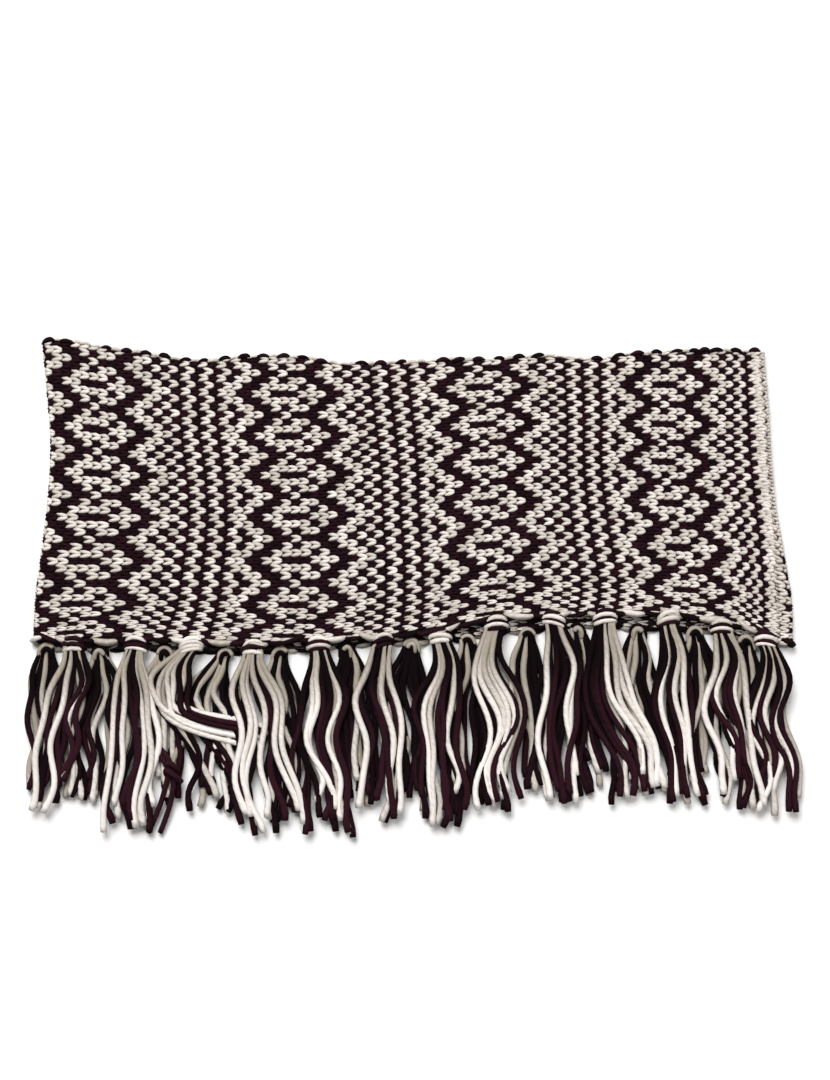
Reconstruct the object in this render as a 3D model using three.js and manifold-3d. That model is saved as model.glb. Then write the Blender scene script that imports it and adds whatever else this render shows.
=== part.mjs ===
import * as THREE from 'three';
import { mergeVertices } from 'three/addons/utils/BufferGeometryUtils.js';
import Module from 'manifold-3d';

// A chunky two-colour knitted loop scarf, laid flat. One strip of knitting is seamed end to end
// into a loop and lies in two layers, with a row of tassels on the hem of each layer.
// Millimetres. X runs along the strip, Y up the cloth from hem to top edge, Z up off the surface.

// The knitting
const WALL = 5;
const LAYER_GAP = 0.3;
const BACK_TOP = WALL;
const FRONT_UNDER = WALL + LAYER_GAP;
const FRONT_TOP = FRONT_UNDER + WALL;
const EDGE_ROUND = 2.2;
const EDGE_ROUND_STEP = 0.8;
const BACK_EDGE_SET_BACK = 1;

// The folds at the two ends and the seam beside the right one
const FOLD_REACH = 5;
const FOLD_LIFT = 0.4;
const HOOK_GAP = 0.5;
const SEAM_GAP = 0.3;
const SEAM_BEVEL = 1.2;
const SEAM_BEVEL_SHARE = 0.15;
const FOLD_SHARE = 0.62;

// The soft swells of the front layer
const SWELL = 0.7;
const SWELL_LENGTH = 148;
const SWELL_RISE = 121;
const SWELL_FADE = 40;

// How finely the walls are cut
const ALONG_STEPS = 24;
const FOLD_STEPS = 6;
const ROW_STEPS = 10;

// Tassels
const LOCKS = 8;
const LOCK_STEPS = 5;
const LOCK_HEIGHT = 4.3;
const LOCK_ROOT_HEIGHT = 3;
const LOCK_MAX_WIDTH = 4.4;
const LOCK_FILL = 0.86;
const ROOT_SPREAD = 6.6;
const SPREAD_START = 0.08;
const SWAY_FADE = 0.4;
const LEAN_POWER = 1.3;
const HEAD_SEAT = 0.4;
const HEAD_SIDES = 6;
const TIP_DROOP = 20;
const RAGGED_TIPS = [1, 7, -3, 5, -6, 3, 8, -2];
const BACK_RAGGED_SHARE = 0.3;

const FRONT_HEAD = { halfLength: 9, halfTall: 5.2, low: 5.5, high: 13.4, lockRoot: 7.6, lockBed: 5.5 };
const BACK_HEAD = { halfLength: 8, halfTall: 4.8, low: 0.5, high: 7.6, lockRoot: 2.4, lockBed: 0.5 };

// The outline along the strip: x, the top edge, the front hem and the back hem below it
const OUTLINE = [
  { x: -323, top: 208, hem: -42, backHem: -47 },
  { x: -301, top: 213, hem: -44, backHem: -51 },
  { x: -260, top: 206.5, hem: -45, backHem: -52.5 },
  { x: -223, top: 201.5, hem: -44, backHem: -52.5 },
  { x: -185, top: 195.5, hem: -45, backHem: -54 },
  { x: -138, top: 199, hem: -47.5, backHem: -55 },
  { x: -98, top: 199, hem: -45, backHem: -52.5 },
  { x: -70, top: 194, hem: -43.5, backHem: -50 },
  { x: -31, top: 193, hem: -41.5, backHem: -47.5 },
  { x: 1, top: 194.5, hem: -39, backHem: -46 },
  { x: 34, top: 196.5, hem: -34, backHem: -43.5 },
  { x: 71, top: 197, hem: -25.5, backHem: -40 },
  { x: 113, top: 200, hem: -23, backHem: -35 },
  { x: 154, top: 197, hem: -21.5, backHem: -32.5 },
  { x: 193, top: 202, hem: -21.5, backHem: -34 },
  { x: 238, top: 204, hem: -24.5, backHem: -35.5 },
  { x: 283, top: 204, hem: -33, backHem: -42.5 },
  { x: 309, top: 202.5, hem: -41, backHem: -47.5 },
  { x: 324, top: 200.5, hem: -42, backHem: -48 },
];

// The two folds and the seam, from the hem up: y, then x of the left fold, the seam and the right fold
const ENDS = [
  { y: -56, left: -323, seam: 309, right: 323.5 },
  { y: -42, left: -322.5, seam: 309, right: 323.5 },
  { y: -8, left: -321, seam: 308.6, right: 322.5 },
  { y: 9, left: -319, seam: 308.3, right: 320 },
  { y: 38, left: -315, seam: 307, right: 315 },
  { y: 76, left: -310.5, seam: 303.8, right: 308.4 },
  { y: 127, left: -308, seam: 299.4, right: 304.4 },
  { y: 161, left: -310.5, seam: 296.5, right: 302.5 },
  { y: 214, left: -315, seam: 292.5, right: 297.5 },
];

// The front tassels, left to right. x is the head, tip the middle of the ends, reach their lowest y,
// spread the half width there, sway the side sweep (left first) and turns its waves
const FRONT_TASSELS = [
  { x: -287, tip: -307, reach: -183, spread: 16, sway: -3, turns: 1.5, yarn: 'cream' },
  { x: -234, tip: -239, reach: -204, spread: 18, sway: 4, turns: 1.4, yarn: 'burgundy' },
  { x: -187, tip: -176, reach: -182, spread: 15, sway: 15, turns: 0.9, yarn: 'cream' },
  { x: -135, tip: -123, reach: -200, spread: 20, sway: 6, turns: 1.5, yarn: 'cream' },
  { x: -79.5, tip: -70, reach: -202, spread: 18, sway: -4, turns: 1.3, yarn: 'burgundy' },
  { x: -25, tip: -24, reach: -190, spread: 16, sway: 5, turns: 1, yarn: 'burgundy' },
  { x: 23.5, tip: 24, reach: -194, spread: 16, sway: -5, turns: 1.4, yarn: 'burgundy' },
  { x: 71, tip: 74, reach: -184, spread: 14, sway: 7, turns: 1.4, yarn: 'cream' },
  { x: 119.5, tip: 127, reach: -175, spread: 16, sway: -6, turns: 1, yarn: 'burgundy' },
  { x: 163, tip: 183, reach: -180, spread: 18, sway: 3, turns: 1, yarn: 'burgundy' },
  { x: 216.5, tip: 232, reach: -175, spread: 16, sway: -3, turns: 1.2, yarn: 'cream' },
  { x: 261.5, tip: 275, reach: -178, spread: 14, sway: -4, turns: 1.4, yarn: 'burgundy' },
  { x: 299, tip: 310, reach: -183, spread: 13, sway: -6, turns: 1.6, yarn: 'cream' },
];

// The back tassels, which hang between and under the front ones
const BACK_TASSELS = [
  { x: -310, tip: -308, reach: -150, spread: 12, sway: 2, turns: 1, yarn: 'burgundy' },
  { x: -265.5, tip: -268, reach: -150, spread: 14, sway: -3, turns: 1.2, yarn: 'burgundy' },
  { x: -210, tip: -208, reach: -150, spread: 14, sway: 3, turns: 1.3, yarn: 'cream' },
  { x: -159, tip: -162, reach: -150, spread: 14, sway: -3, turns: 1, yarn: 'cream' },
  { x: -112, tip: -107, reach: -164, spread: 14, sway: 3, turns: 1.2, yarn: 'burgundy' },
  { x: -55.5, tip: -54, reach: -156, spread: 14, sway: -3, turns: 1.3, yarn: 'burgundy' },
  { x: -1, tip: -2, reach: -156, spread: 14, sway: 3, turns: 1, yarn: 'burgundy' },
  { x: 46.5, tip: 47, reach: -150, spread: 13, sway: -3, turns: 1.2, yarn: 'burgundy' },
  { x: 97.5, tip: 103, reach: -141, spread: 13, sway: 2, turns: 1, yarn: 'cream' },
  { x: 140, tip: 149, reach: -141, spread: 13, sway: -2, turns: 1.2, yarn: 'burgundy' },
  { x: 191, tip: 197, reach: -141, spread: 14, sway: 3, turns: 1, yarn: 'cream' },
  { x: 239.5, tip: 247, reach: -141, spread: 13, sway: -2, turns: 1.2, yarn: 'burgundy' },
  { x: 283, tip: 287, reach: -145, spread: 12, sway: 2, turns: 1.3, yarn: 'burgundy' },
];

// Finishes
const YARNS = {
  burgundy: { color: 0x3f2434, roughness: 0.85 },
  cream: { color: 0xe2dccb, roughness: 0.85 },
};

const wasm = await Module();
wasm.setup();

function mix(from, to, share) {
  return from + (to - from) * share;
}

function smooth(share) {
  const inside = Math.min(1, Math.max(0, share));
  return inside * inside * (3 - 2 * inside);
}

// A smooth curve through one column of a table, by the Catmull-Rom rule
function readTable(rows, along, column, at) {
  const last = rows.length - 1;
  const inside = Math.min(rows[last][along], Math.max(rows[0][along], at));
  let right = 1;
  while (right < last && rows[right][along] < inside) {
    right += 1;
  }
  const left = right - 1;
  const width = rows[right][along] - rows[left][along];
  const t = (inside - rows[left][along]) / width;
  const slope = (index) => {
    const before = rows[Math.max(0, index - 1)];
    const after = rows[Math.min(last, index + 1)];
    return (after[column] - before[column]) / (after[along] - before[along]);
  };
  const stay = 2 * t ** 3 - 3 * t ** 2 + 1;
  const leave = t ** 3 - 2 * t ** 2 + t;
  const arrive = t ** 3 - t ** 2;
  return stay * rows[left][column] + leave * width * slope(left)
    + (1 - stay) * rows[right][column] + arrive * width * slope(right);
}

const outline = (column, x) => readTable(OUTLINE, 'x', column, x);
const endLine = (column, y) => readTable(ENDS, 'y', column, y);

// The rows of a layer from hem to top edge. Near an edge the section is drawn in, so the edge is round
function layerRows() {
  const round = (reach) => EDGE_ROUND - Math.sqrt(EDGE_ROUND ** 2 - (EDGE_ROUND - reach) ** 2);
  const edge = [0, EDGE_ROUND_STEP, EDGE_ROUND].map((reach) => ({ reach, drawnIn: round(reach) }));
  const hem = edge.map((row) => ({ share: 0, offset: row.reach, drawnIn: row.drawnIn }));
  const top = edge.map((row) => ({ share: 1, offset: -row.reach, drawnIn: row.drawnIn })).reverse();
  const middle = [];
  for (let step = 1; step < ROW_STEPS; step += 1) {
    middle.push({ share: step / ROW_STEPS, offset: 0, drawnIn: 0 });
  }
  return [...hem, ...middle, ...top];
}

// Soft uneven swells, fading out to the folds, the seam and the long edges
function swell(x, y) {
  const along = Math.sin((2 * Math.PI * x) / SWELL_LENGTH + y / SWELL_RISE);
  const across = Math.cos((2 * Math.PI * y) / SWELL_RISE - x / SWELL_LENGTH);
  const ends = smooth((x - endLine('left', y)) / SWELL_FADE - 0.2)
    * smooth((endLine('seam', y) - x) / SWELL_FADE - 0.2);
  const edges = smooth((outline('top', x) - y) / SWELL_FADE) * smooth((y - outline('hem', x)) / SWELL_FADE);
  return SWELL * (along + 0.6 * across) * ends * edges;
}

// The front layer's section: over the top from the seam, round the left fold and back beneath
function frontSection(y, drawnIn) {
  const left = endLine('left', y);
  const seam = endLine('seam', y);
  const hook = left + FOLD_REACH;
  const points = [
    { x: seam - drawnIn, z: FRONT_UNDER + drawnIn },
    { x: seam - drawnIn, z: FRONT_TOP - Math.max(SEAM_BEVEL, drawnIn) },
  ];
  for (let step = 0; step <= ALONG_STEPS; step += 1) {
    const x = mix(seam - SEAM_BEVEL - drawnIn, hook, step / ALONG_STEPS);
    points.push({ x, z: FRONT_TOP - drawnIn, swells: true });
  }
  const middle = (FRONT_TOP + FOLD_LIFT) / 2;
  for (let step = 1; step <= FOLD_STEPS; step += 1) {
    const turn = Math.PI * (0.5 + step / FOLD_STEPS);
    const x = hook + (FOLD_REACH - drawnIn) * Math.cos(turn);
    points.push({ x, z: middle + (FRONT_TOP - middle - drawnIn) * Math.sin(turn) });
  }
  for (let step = 0; step < ALONG_STEPS; step += 1) {
    points.push({ x: mix(hook, seam - drawnIn, step / ALONG_STEPS), z: FRONT_UNDER + drawnIn });
  }
  return points;
}

// The front section's end faces: pairs across the wall, the bevel, and a fan in the rolled fold
function frontCap() {
  const top = 2;
  const fold = top + ALONG_STEPS + 1;
  const under = fold + FOLD_STEPS;
  const faces = [[0, 1, top], ...fanFrom(under, [top + ALONG_STEPS, ...span(fold, FOLD_STEPS)])];
  const beneath = [...span(under, ALONG_STEPS), 0];
  return [...faces, ...pairedFaces(span(top, ALONG_STEPS + 1), beneath)];
}

// The back layer's section: flat beneath, round the right fold and over to the seam, with the slit
// where its two thicknesses lie on each other
function backSection(y, drawnIn) {
  const start = endLine('left', y) + FOLD_REACH + HOOK_GAP;
  const seam = endLine('seam', y) + SEAM_GAP;
  const right = endLine('right', y);
  const flap = right - seam;
  const bend = Math.min(FOLD_REACH, FOLD_SHARE * flap);
  const bevel = Math.min(SEAM_BEVEL, SEAM_BEVEL_SHARE * flap);
  const inner = right - bend;
  const middle = FRONT_TOP / 2;
  const points = [];
  for (let step = 0; step < ALONG_STEPS; step += 1) {
    points.push({ x: mix(start, inner, step / ALONG_STEPS), z: drawnIn });
  }
  for (let step = 0; step <= FOLD_STEPS; step += 1) {
    const turn = Math.PI * (step / FOLD_STEPS - 0.5);
    const x = inner + (bend - drawnIn) * Math.cos(turn);
    points.push({ x, z: middle + (middle - drawnIn) * Math.sin(turn) });
  }
  points.push({ x: seam + bevel, z: FRONT_TOP - drawnIn });
  points.push({ x: seam, z: FRONT_TOP - Math.max(bevel, drawnIn + 0.1) });
  points.push({ x: seam, z: FRONT_UNDER + drawnIn });
  points.push({ x: inner, z: FRONT_UNDER + drawnIn });
  for (let step = 0; step <= ALONG_STEPS; step += 1) {
    points.push({ x: mix(inner, start, step / ALONG_STEPS), z: BACK_TOP - drawnIn });
  }
  return points;
}

// The back section's end faces: pairs across the wall, and fans from the two lips of the slit
function backCap() {
  const bend = span(ALONG_STEPS, FOLD_STEPS + 1);
  const flap = span(ALONG_STEPS + FOLD_STEPS + 1, 4);
  const top = span(ALONG_STEPS + FOLD_STEPS + 5, ALONG_STEPS + 1);
  const half = FOLD_STEPS / 2;
  return [
    ...pairedFaces(span(0, ALONG_STEPS + 1), top),
    ...fanFrom(top[0], bend.slice(0, half + 1)),
    [top[0], bend[half], flap[3]],
    ...fanFrom(flap[3], [...bend.slice(half), ...flap.slice(0, 3)]),
  ];
}

// A run of point numbers
function span(first, count) {
  return Array.from({ length: count }, (_, index) => first + index);
}

// Faces that join a hub point to each step of a chain
function fanFrom(hub, chain) {
  return chain.slice(1).map((point, index) => [hub, chain[index], point]);
}

// Faces between one chain and the one that comes back beneath it
function pairedFaces(chain, returning) {
  const last = chain.length - 1;
  return span(0, last).flatMap((step) => [
    [chain[step], chain[step + 1], returning[last - step - 1]],
    [chain[step], returning[last - step - 1], returning[last - step]],
  ]);
}

// A closed solid through rings of equal length, with both ends capped
function sweptSolid(rings, capFaces) {
  const count = rings[0].length;
  const faces = [];
  for (let ring = 0; ring + 1 < rings.length; ring += 1) {
    for (let corner = 0; corner < count; corner += 1) {
      const next = (corner + 1) % count;
      const near = ring * count;
      const far = near + count;
      faces.push([near + corner, far + corner, far + next], [near + corner, far + next, near + next]);
    }
  }
  const end = (rings.length - 1) * count;
  for (const [a, b, c] of capFaces) {
    faces.push([a, b, c], [end + c, end + b, end + a]);
  }
  return facingOut(rings.flat(), faces);
}

// A geometry from corners and faces, turned so that its faces point outwards
function facingOut(corners, faces) {
  const vectors = corners.map((corner) => new THREE.Vector3(...corner));
  const volume = faces.reduce((sum, [a, b, c]) => {
    const normal = new THREE.Vector3().crossVectors(vectors[b], vectors[c]);
    return sum + vectors[a].dot(normal);
  }, 0);
  const outward = volume > 0 ? faces : faces.map(([a, b, c]) => [a, c, b]);
  const geometry = new THREE.BufferGeometry();
  geometry.setAttribute('position', new THREE.Float32BufferAttribute(corners.flat(), 3));
  geometry.setIndex(outward.flat());
  return geometry;
}

// One layer of the knitting, from its section, its top edge and its hem
function layerSolid(section, cap, hemColumn, setBack) {
  const rings = layerRows().map((row) => {
    const place = (x) => {
      const hem = outline(hemColumn, x);
      const top = outline('top', x) - setBack;
      return mix(hem, top, row.share) + row.offset;
    };
    return ringAt(section, place, row.drawnIn);
  });
  return sweptSolid(rings, cap);
}

// A ring of section points, each at its own place up the cloth, with the folds as they are there
function ringAt(section, place, drawnIn) {
  const atLeft = section(place(ENDS[0].left), drawnIn);
  const atRight = section(place(ENDS[0].seam), drawnIn);
  return atLeft.map((point, index) => {
    const x = mix(point.x, atRight[index].x, smooth(0.5 + point.x / (2 * ENDS[0].seam)));
    const y = place(x);
    return [x, y, point.z + (point.swells ? swell(x, y) : 0)];
  });
}

// A tassel's head: the bar of yarn that is looped over the hem, a barrel lying along X
function headSolid(tassel, top, head) {
  const profile = [
    { along: -1, girth: 0.6 },
    { along: -0.7, girth: 1 },
    { along: 0.7, girth: 1 },
    { along: 1, girth: 0.6 },
  ];
  const middle = (head.low + head.high) / 2;
  const halfThick = (head.high - head.low) / 2;
  const halfTall = head.halfTall / Math.cos(Math.PI / HEAD_SIDES);
  const rings = profile.map(({ along, girth }) => Array.from({ length: HEAD_SIDES }, (_, side) => {
    const turn = (2 * Math.PI * (side + 0.5)) / HEAD_SIDES;
    const y = top - head.halfTall + halfTall * girth * Math.cos(turn);
    return [tassel.x + along * head.halfLength, y, middle + halfThick * girth * Math.sin(turn)];
  }));
  return sweptSolid(rings, fanFrom(0, span(1, HEAD_SIDES - 1)));
}

// One lock of a tassel: a three-sided strand that leaves the head, sways with its neighbours and
// widens as the tassel opens. The front locks come down to the surface where the back ones have ended
function lockSolid(tassel, index, start, head, reach, droops) {
  const across = (2 * index) / (LOCKS - 1) - 1;
  const rings = [];
  for (let step = 0; step <= LOCK_STEPS; step += 1) {
    const along = step / LOCK_STEPS;
    const open = smooth((along - SPREAD_START) / (1 - SPREAD_START));
    const spread = mix(ROOT_SPREAD, tassel.spread, open);
    const lean = (tassel.tip - tassel.x) * along ** LEAN_POWER;
    const sway = -tassel.sway * Math.sin(2 * Math.PI * tassel.turns * along) * (1 - SWAY_FADE * along);
    const x = tassel.x + lean + sway + across * spread;
    const y = mix(start, reach, along);
    const half = Math.min(LOCK_MAX_WIDTH, (LOCK_FILL * 2 * spread) / (LOCKS - 1)) / 2;
    const settle = smooth(along * LOCK_STEPS * 0.5);
    const drop = droops ? smooth(1 - (y - reach) / TIP_DROOP) : 0;
    const bed = mix(mix(head.lockRoot, head.lockBed, settle), BACK_HEAD.lockBed, drop);
    const height = mix(LOCK_ROOT_HEIGHT, LOCK_HEIGHT, settle);
    rings.push([[x - half, y, bed], [x + half, y, bed], [x, y, bed + height]]);
  }
  return sweptSolid(rings, [[0, 1, 2]]);
}

function toManifold(geometry) {
  const merged = mergeVertices(geometry);
  return new wasm.Manifold(new wasm.Mesh({
    numProp: 3,
    vertProperties: new Float32Array(merged.attributes.position.array),
    triVerts: new Uint32Array(merged.index.array),
  }));
}

function fromManifold(solid) {
  const mesh = solid.getMesh();
  const geometry = new THREE.BufferGeometry();
  geometry.setAttribute('position', new THREE.Float32BufferAttribute(mesh.vertProperties, 3));
  geometry.setIndex(Array.from(mesh.triVerts));
  return geometry;
}

// A whole tassel: its locks, fused at their roots into its head, seated under the hem
function tasselSolid(tassel, order, row) {
  const { head, hemColumn, ragged, droops } = row;
  const hems = [-1, 0, 1].map((side) => outline(hemColumn, tassel.x + side * head.halfLength));
  const top = Math.min(...hems) - HEAD_SEAT;
  let solid = toManifold(headSolid(tassel, top, head));
  for (let index = 0; index < LOCKS; index += 1) {
    const tip = RAGGED_TIPS[(index * 3 + order) % RAGGED_TIPS.length] * ragged;
    const lock = lockSolid(tassel, index, top - head.halfTall, head, tassel.reach - tip, droops);
    solid = solid.add(toManifold(lock));
  }
  return fromManifold(solid);
}

function namedMesh(name, geometry, yarn) {
  geometry.computeVertexNormals();
  const mesh = new THREE.Mesh(geometry, new THREE.MeshStandardMaterial({ ...YARNS[yarn], metalness: 0 }));
  mesh.name = name;
  return mesh;
}

const scarf = new THREE.Group();

scarf.add(namedMesh('front_layer', layerSolid(frontSection, frontCap(), 'hem', 0), 'burgundy'));
const backLayer = layerSolid(backSection, backCap(), 'backHem', BACK_EDGE_SET_BACK);
scarf.add(namedMesh('back_layer', backLayer, 'burgundy'));

const TASSEL_ROWS = [
  { name: 'front_tassel', list: FRONT_TASSELS, head: FRONT_HEAD, hemColumn: 'hem', ragged: 1, droops: true },
  {
    name: 'back_tassel',
    list: BACK_TASSELS,
    head: BACK_HEAD,
    hemColumn: 'backHem',
    ragged: BACK_RAGGED_SHARE,
    droops: false,
  },
];

for (const row of TASSEL_ROWS) {
  row.list.forEach((tassel, order) => {
    const label = String(order + 1).padStart(2, '0');
    scarf.add(namedMesh(`${row.name}_${label}`, tasselSolid(tassel, order, row), tassel.yarn));
  });
}

export default scarf;
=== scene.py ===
"""Dresses a chunky knitted loop scarf, laid flat, with its stitches, seam, tassels and yarns.

The scarf is one strip of two-colour stocking stitch, seamed end to end and laid double. Every stitch is
modelled: two yarn legs that meet in a point. They are worked out on the strip's flat plane, in
millimetres, and then laid on the strip's real form: over the front, round the left fold, along the back
and round the right fold to the seam. The tassels are strands of the same yarn on the paths of the solids.
"""

import logging
import math
from dataclasses import dataclass, field
from enum import Enum

import bpy
import numpy as np
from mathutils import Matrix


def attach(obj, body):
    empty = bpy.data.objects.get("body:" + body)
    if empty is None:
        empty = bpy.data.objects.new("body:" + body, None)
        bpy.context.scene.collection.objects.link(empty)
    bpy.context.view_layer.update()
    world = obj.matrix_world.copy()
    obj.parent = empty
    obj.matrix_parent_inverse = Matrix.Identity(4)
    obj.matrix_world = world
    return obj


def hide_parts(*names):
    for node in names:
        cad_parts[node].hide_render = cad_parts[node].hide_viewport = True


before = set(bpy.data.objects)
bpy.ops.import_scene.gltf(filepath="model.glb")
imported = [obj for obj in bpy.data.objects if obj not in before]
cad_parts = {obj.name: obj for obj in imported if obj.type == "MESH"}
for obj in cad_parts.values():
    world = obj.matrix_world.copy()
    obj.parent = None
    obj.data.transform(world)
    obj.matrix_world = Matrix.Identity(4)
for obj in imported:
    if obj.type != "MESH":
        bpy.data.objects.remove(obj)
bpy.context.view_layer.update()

LOG = logging.getLogger("scarf")

MM = 0.001
BODY = "root"

# Where the cut ends of a strand read the shade round it, as a share of the way round
CUT_FACE = 0.18
# Courses to the strip's other end, for stitches that are nowhere near it
FAR_OFF = 99

Array = np.ndarray


def mix(start: Array | float, end: Array | float, share: Array | float) -> Array | float:
    """Straight blend of two values.

    Args:
        start: Value where share is 0.
        end: Value where share is 1.
        share: Place between them.

    Returns:
        start plus share of the way to end.
    """
    return start + (end - start) * share


def smooth(share: Array) -> Array:
    """Soft step: 0 below 0, 1 above 1, and 3s^2 - 2s^3 between.

    Args:
        share: Values to ease.

    Returns:
        The eased values.
    """
    inside = np.clip(share, 0.0, 1.0)
    return inside * inside * (3.0 - 2.0 * inside)


def curve(along: Array, values: Array, at: Array) -> Array:
    """Smooth curve through knots by the Catmull-Rom rule.

    Args:
        along: Places of the knots.
        values: Value at each knot, or one array of values like at for each knot.
        at: Places to read, held inside the ends.

    Returns:
        The values there.
    """
    last = len(along) - 1
    inside = np.clip(at, along[0], along[-1])
    left = np.clip(np.searchsorted(along, inside, side="left") - 1, 0, last - 1)
    before = np.clip(np.arange(last + 1) - 1, 0, last)
    after = np.clip(np.arange(last + 1) + 1, 0, last)
    singles = [1] * left.ndim
    each = singles if values.ndim == 1 else left.shape
    every = np.broadcast_to(values.reshape(last + 1, *each), (last + 1, *left.shape))
    run = (along[after] - along[before]).reshape(-1, *singles)
    slope = (every[after] - every[before]) / run
    here, there = (np.take_along_axis(every, index[None], 0)[0] for index in (left, left + 1))
    leaves, arrives = (np.take_along_axis(slope, index[None], 0)[0] for index in (left, left + 1))
    width = along[left + 1] - along[left]
    t = (inside - along[left]) / width
    stay = 2 * t**3 - 3 * t**2 + 1
    bent = (t**3 - 2 * t**2 + t) * leaves + (t**3 - t**2) * arrives
    return stay * here + (1 - stay) * there + width * bent


@dataclass(frozen=True)
class Column:
    """One column of a table as a smooth curve."""

    along: tuple[float, ...]
    values: tuple[float, ...]

    @classmethod
    def of(cls, rows: tuple[tuple[float, ...], ...], column: int) -> "Column":
        """The curve through a column of rows whose first column is the place along."""
        return cls(tuple(row[0] for row in rows), tuple(row[column] for row in rows))

    def __call__(self, at: Array) -> Array:
        """Read the curve at places along it."""
        return curve(np.asarray(self.along, float), np.asarray(self.values, float), np.asarray(at, float))


@dataclass(frozen=True)
class Grid:
    """A table with a row for each of some wales and a column for each of some courses, as a surface."""

    courses: tuple[float, ...]
    columns: tuple[Column, ...]

    @classmethod
    def of(cls, courses: tuple[float, ...], rows: tuple[tuple[float, ...], ...]) -> "Grid":
        """The surface through rows that start with a wale and then have a value for each course."""
        return cls(courses, tuple(Column.of(rows, place + 1) for place in range(len(courses))))

    def __call__(self, course: Array, wale: Array) -> Array:
        """Read the surface at courses and wales of equal shape."""
        values = np.stack([column(wale) for column in self.columns])
        return curve(np.asarray(self.courses, float), values, np.asarray(course, float))


class Yarn(Enum):
    """The two yarns, by the letter that charts them and their place among a piece's materials."""

    BURGUNDY = 0
    CREAM = 1

    @classmethod
    def row(cls, letters: str) -> list["Yarn"]:
        """The yarns that a word of the letters B and C names."""
        return [cls.CREAM if letter == "C" else cls.BURGUNDY for letter in letters]


class Socket:
    """A shader socket that takes part in Python arithmetic by adding Math nodes."""

    def __init__(self, tree: "Shader", socket: bpy.types.NodeSocket) -> None:
        """Keep the socket and the shader that it belongs to."""
        self.tree = tree
        self.socket = socket

    def _math(self, operation: str, *operands: "Socket | float") -> "Socket":
        """A Math node on the operands."""
        inputs = {index: operand for index, operand in enumerate(operands)}
        return self.tree.node("ShaderNodeMath", {"operation": operation}, inputs)

    def __add__(self, other: "Socket | float") -> "Socket":
        """Sum."""
        return self._math("ADD", self, other)

    def __radd__(self, other: float) -> "Socket":
        """Sum, reflected."""
        return self._math("ADD", other, self)

    def __sub__(self, other: "Socket | float") -> "Socket":
        """Difference."""
        return self._math("SUBTRACT", self, other)

    def __rsub__(self, other: float) -> "Socket":
        """Difference, reflected."""
        return self._math("SUBTRACT", other, self)

    def __mul__(self, other: "Socket | float") -> "Socket":
        """Product."""
        return self._math("MULTIPLY", self, other)

    def __rmul__(self, other: float) -> "Socket":
        """Product, reflected."""
        return self._math("MULTIPLY", other, self)

    def __pow__(self, other: float) -> "Socket":
        """Power."""
        return self._math("POWER", self, other)

    def sine(self) -> "Socket":
        """Sine of the value in radians."""
        return self._math("SINE", self)

    def clamped(self) -> "Socket":
        """The value held between 0 and 1."""
        return self.tree.node("ShaderNodeClamp", {}, {"Value": self})


class Shader:
    """A material's node tree, built from expressions."""

    def __init__(self, name: str) -> None:
        """Start an empty node material."""
        self.material = bpy.data.materials.new(name)
        self.material.use_nodes = True
        self.nodes = self.material.node_tree.nodes
        self.links = self.material.node_tree.links
        self.nodes.clear()

    def add(self, kind: str, settings: dict[str, object], inputs: dict[str | int, object]) -> bpy.types.Node:
        """Add a node.

        Args:
            kind: Node type.
            settings: Properties, set before the sockets.
            inputs: Values or links by socket name or number.

        Returns:
            The node.
        """
        made = self.nodes.new(kind)
        for name, value in settings.items():
            setattr(made, name, value)
        for name, value in inputs.items():
            if isinstance(value, Socket):
                self.links.new(value.socket, made.inputs[name])
            else:
                made.inputs[name].default_value = value
        return made

    def node(
        self, kind: str, settings: dict[str, object], inputs: dict[str | int, object], output: str | int = 0
    ) -> Socket:
        """Add a node and give one of its outputs, by name or number."""
        return Socket(self, self.add(kind, settings, inputs).outputs[output])

    def blend(self, factor: Socket | float, first: object, second: object) -> Socket:
        """A colour mix of two colours, by factor."""
        inputs = {"Factor": factor, 6: first, 7: second}
        return self.node("ShaderNodeMix", {"data_type": "RGBA"}, inputs, 2)

    def noise(self, scale: float, detail: float, where: Socket) -> Socket:
        """Noise on a vector, with the given scale and detail."""
        return self.node("ShaderNodeTexNoise", {}, {"Vector": where, "Scale": scale, "Detail": detail})

    def bump(self, height: Socket, depth: float, over: Socket | None = None) -> Socket:
        """A normal bumped by a height, in metres of depth, on top of another normal."""
        inputs: dict[str | int, object] = {"Strength": 0.9, "Distance": depth, "Height": height}
        if over is not None:
            inputs["Normal"] = over
        return self.node("ShaderNodeBump", {}, inputs)

    def finish(self, surface: dict[str, object]) -> bpy.types.Material:
        """Close the tree with a Principled shader on the given sockets."""
        shader = self.node("ShaderNodeBsdfPrincipled", {}, surface)
        self.add("ShaderNodeOutputMaterial", {}, {"Surface": shader})
        return self.material


Colour = tuple[float, float, float, float]


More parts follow.
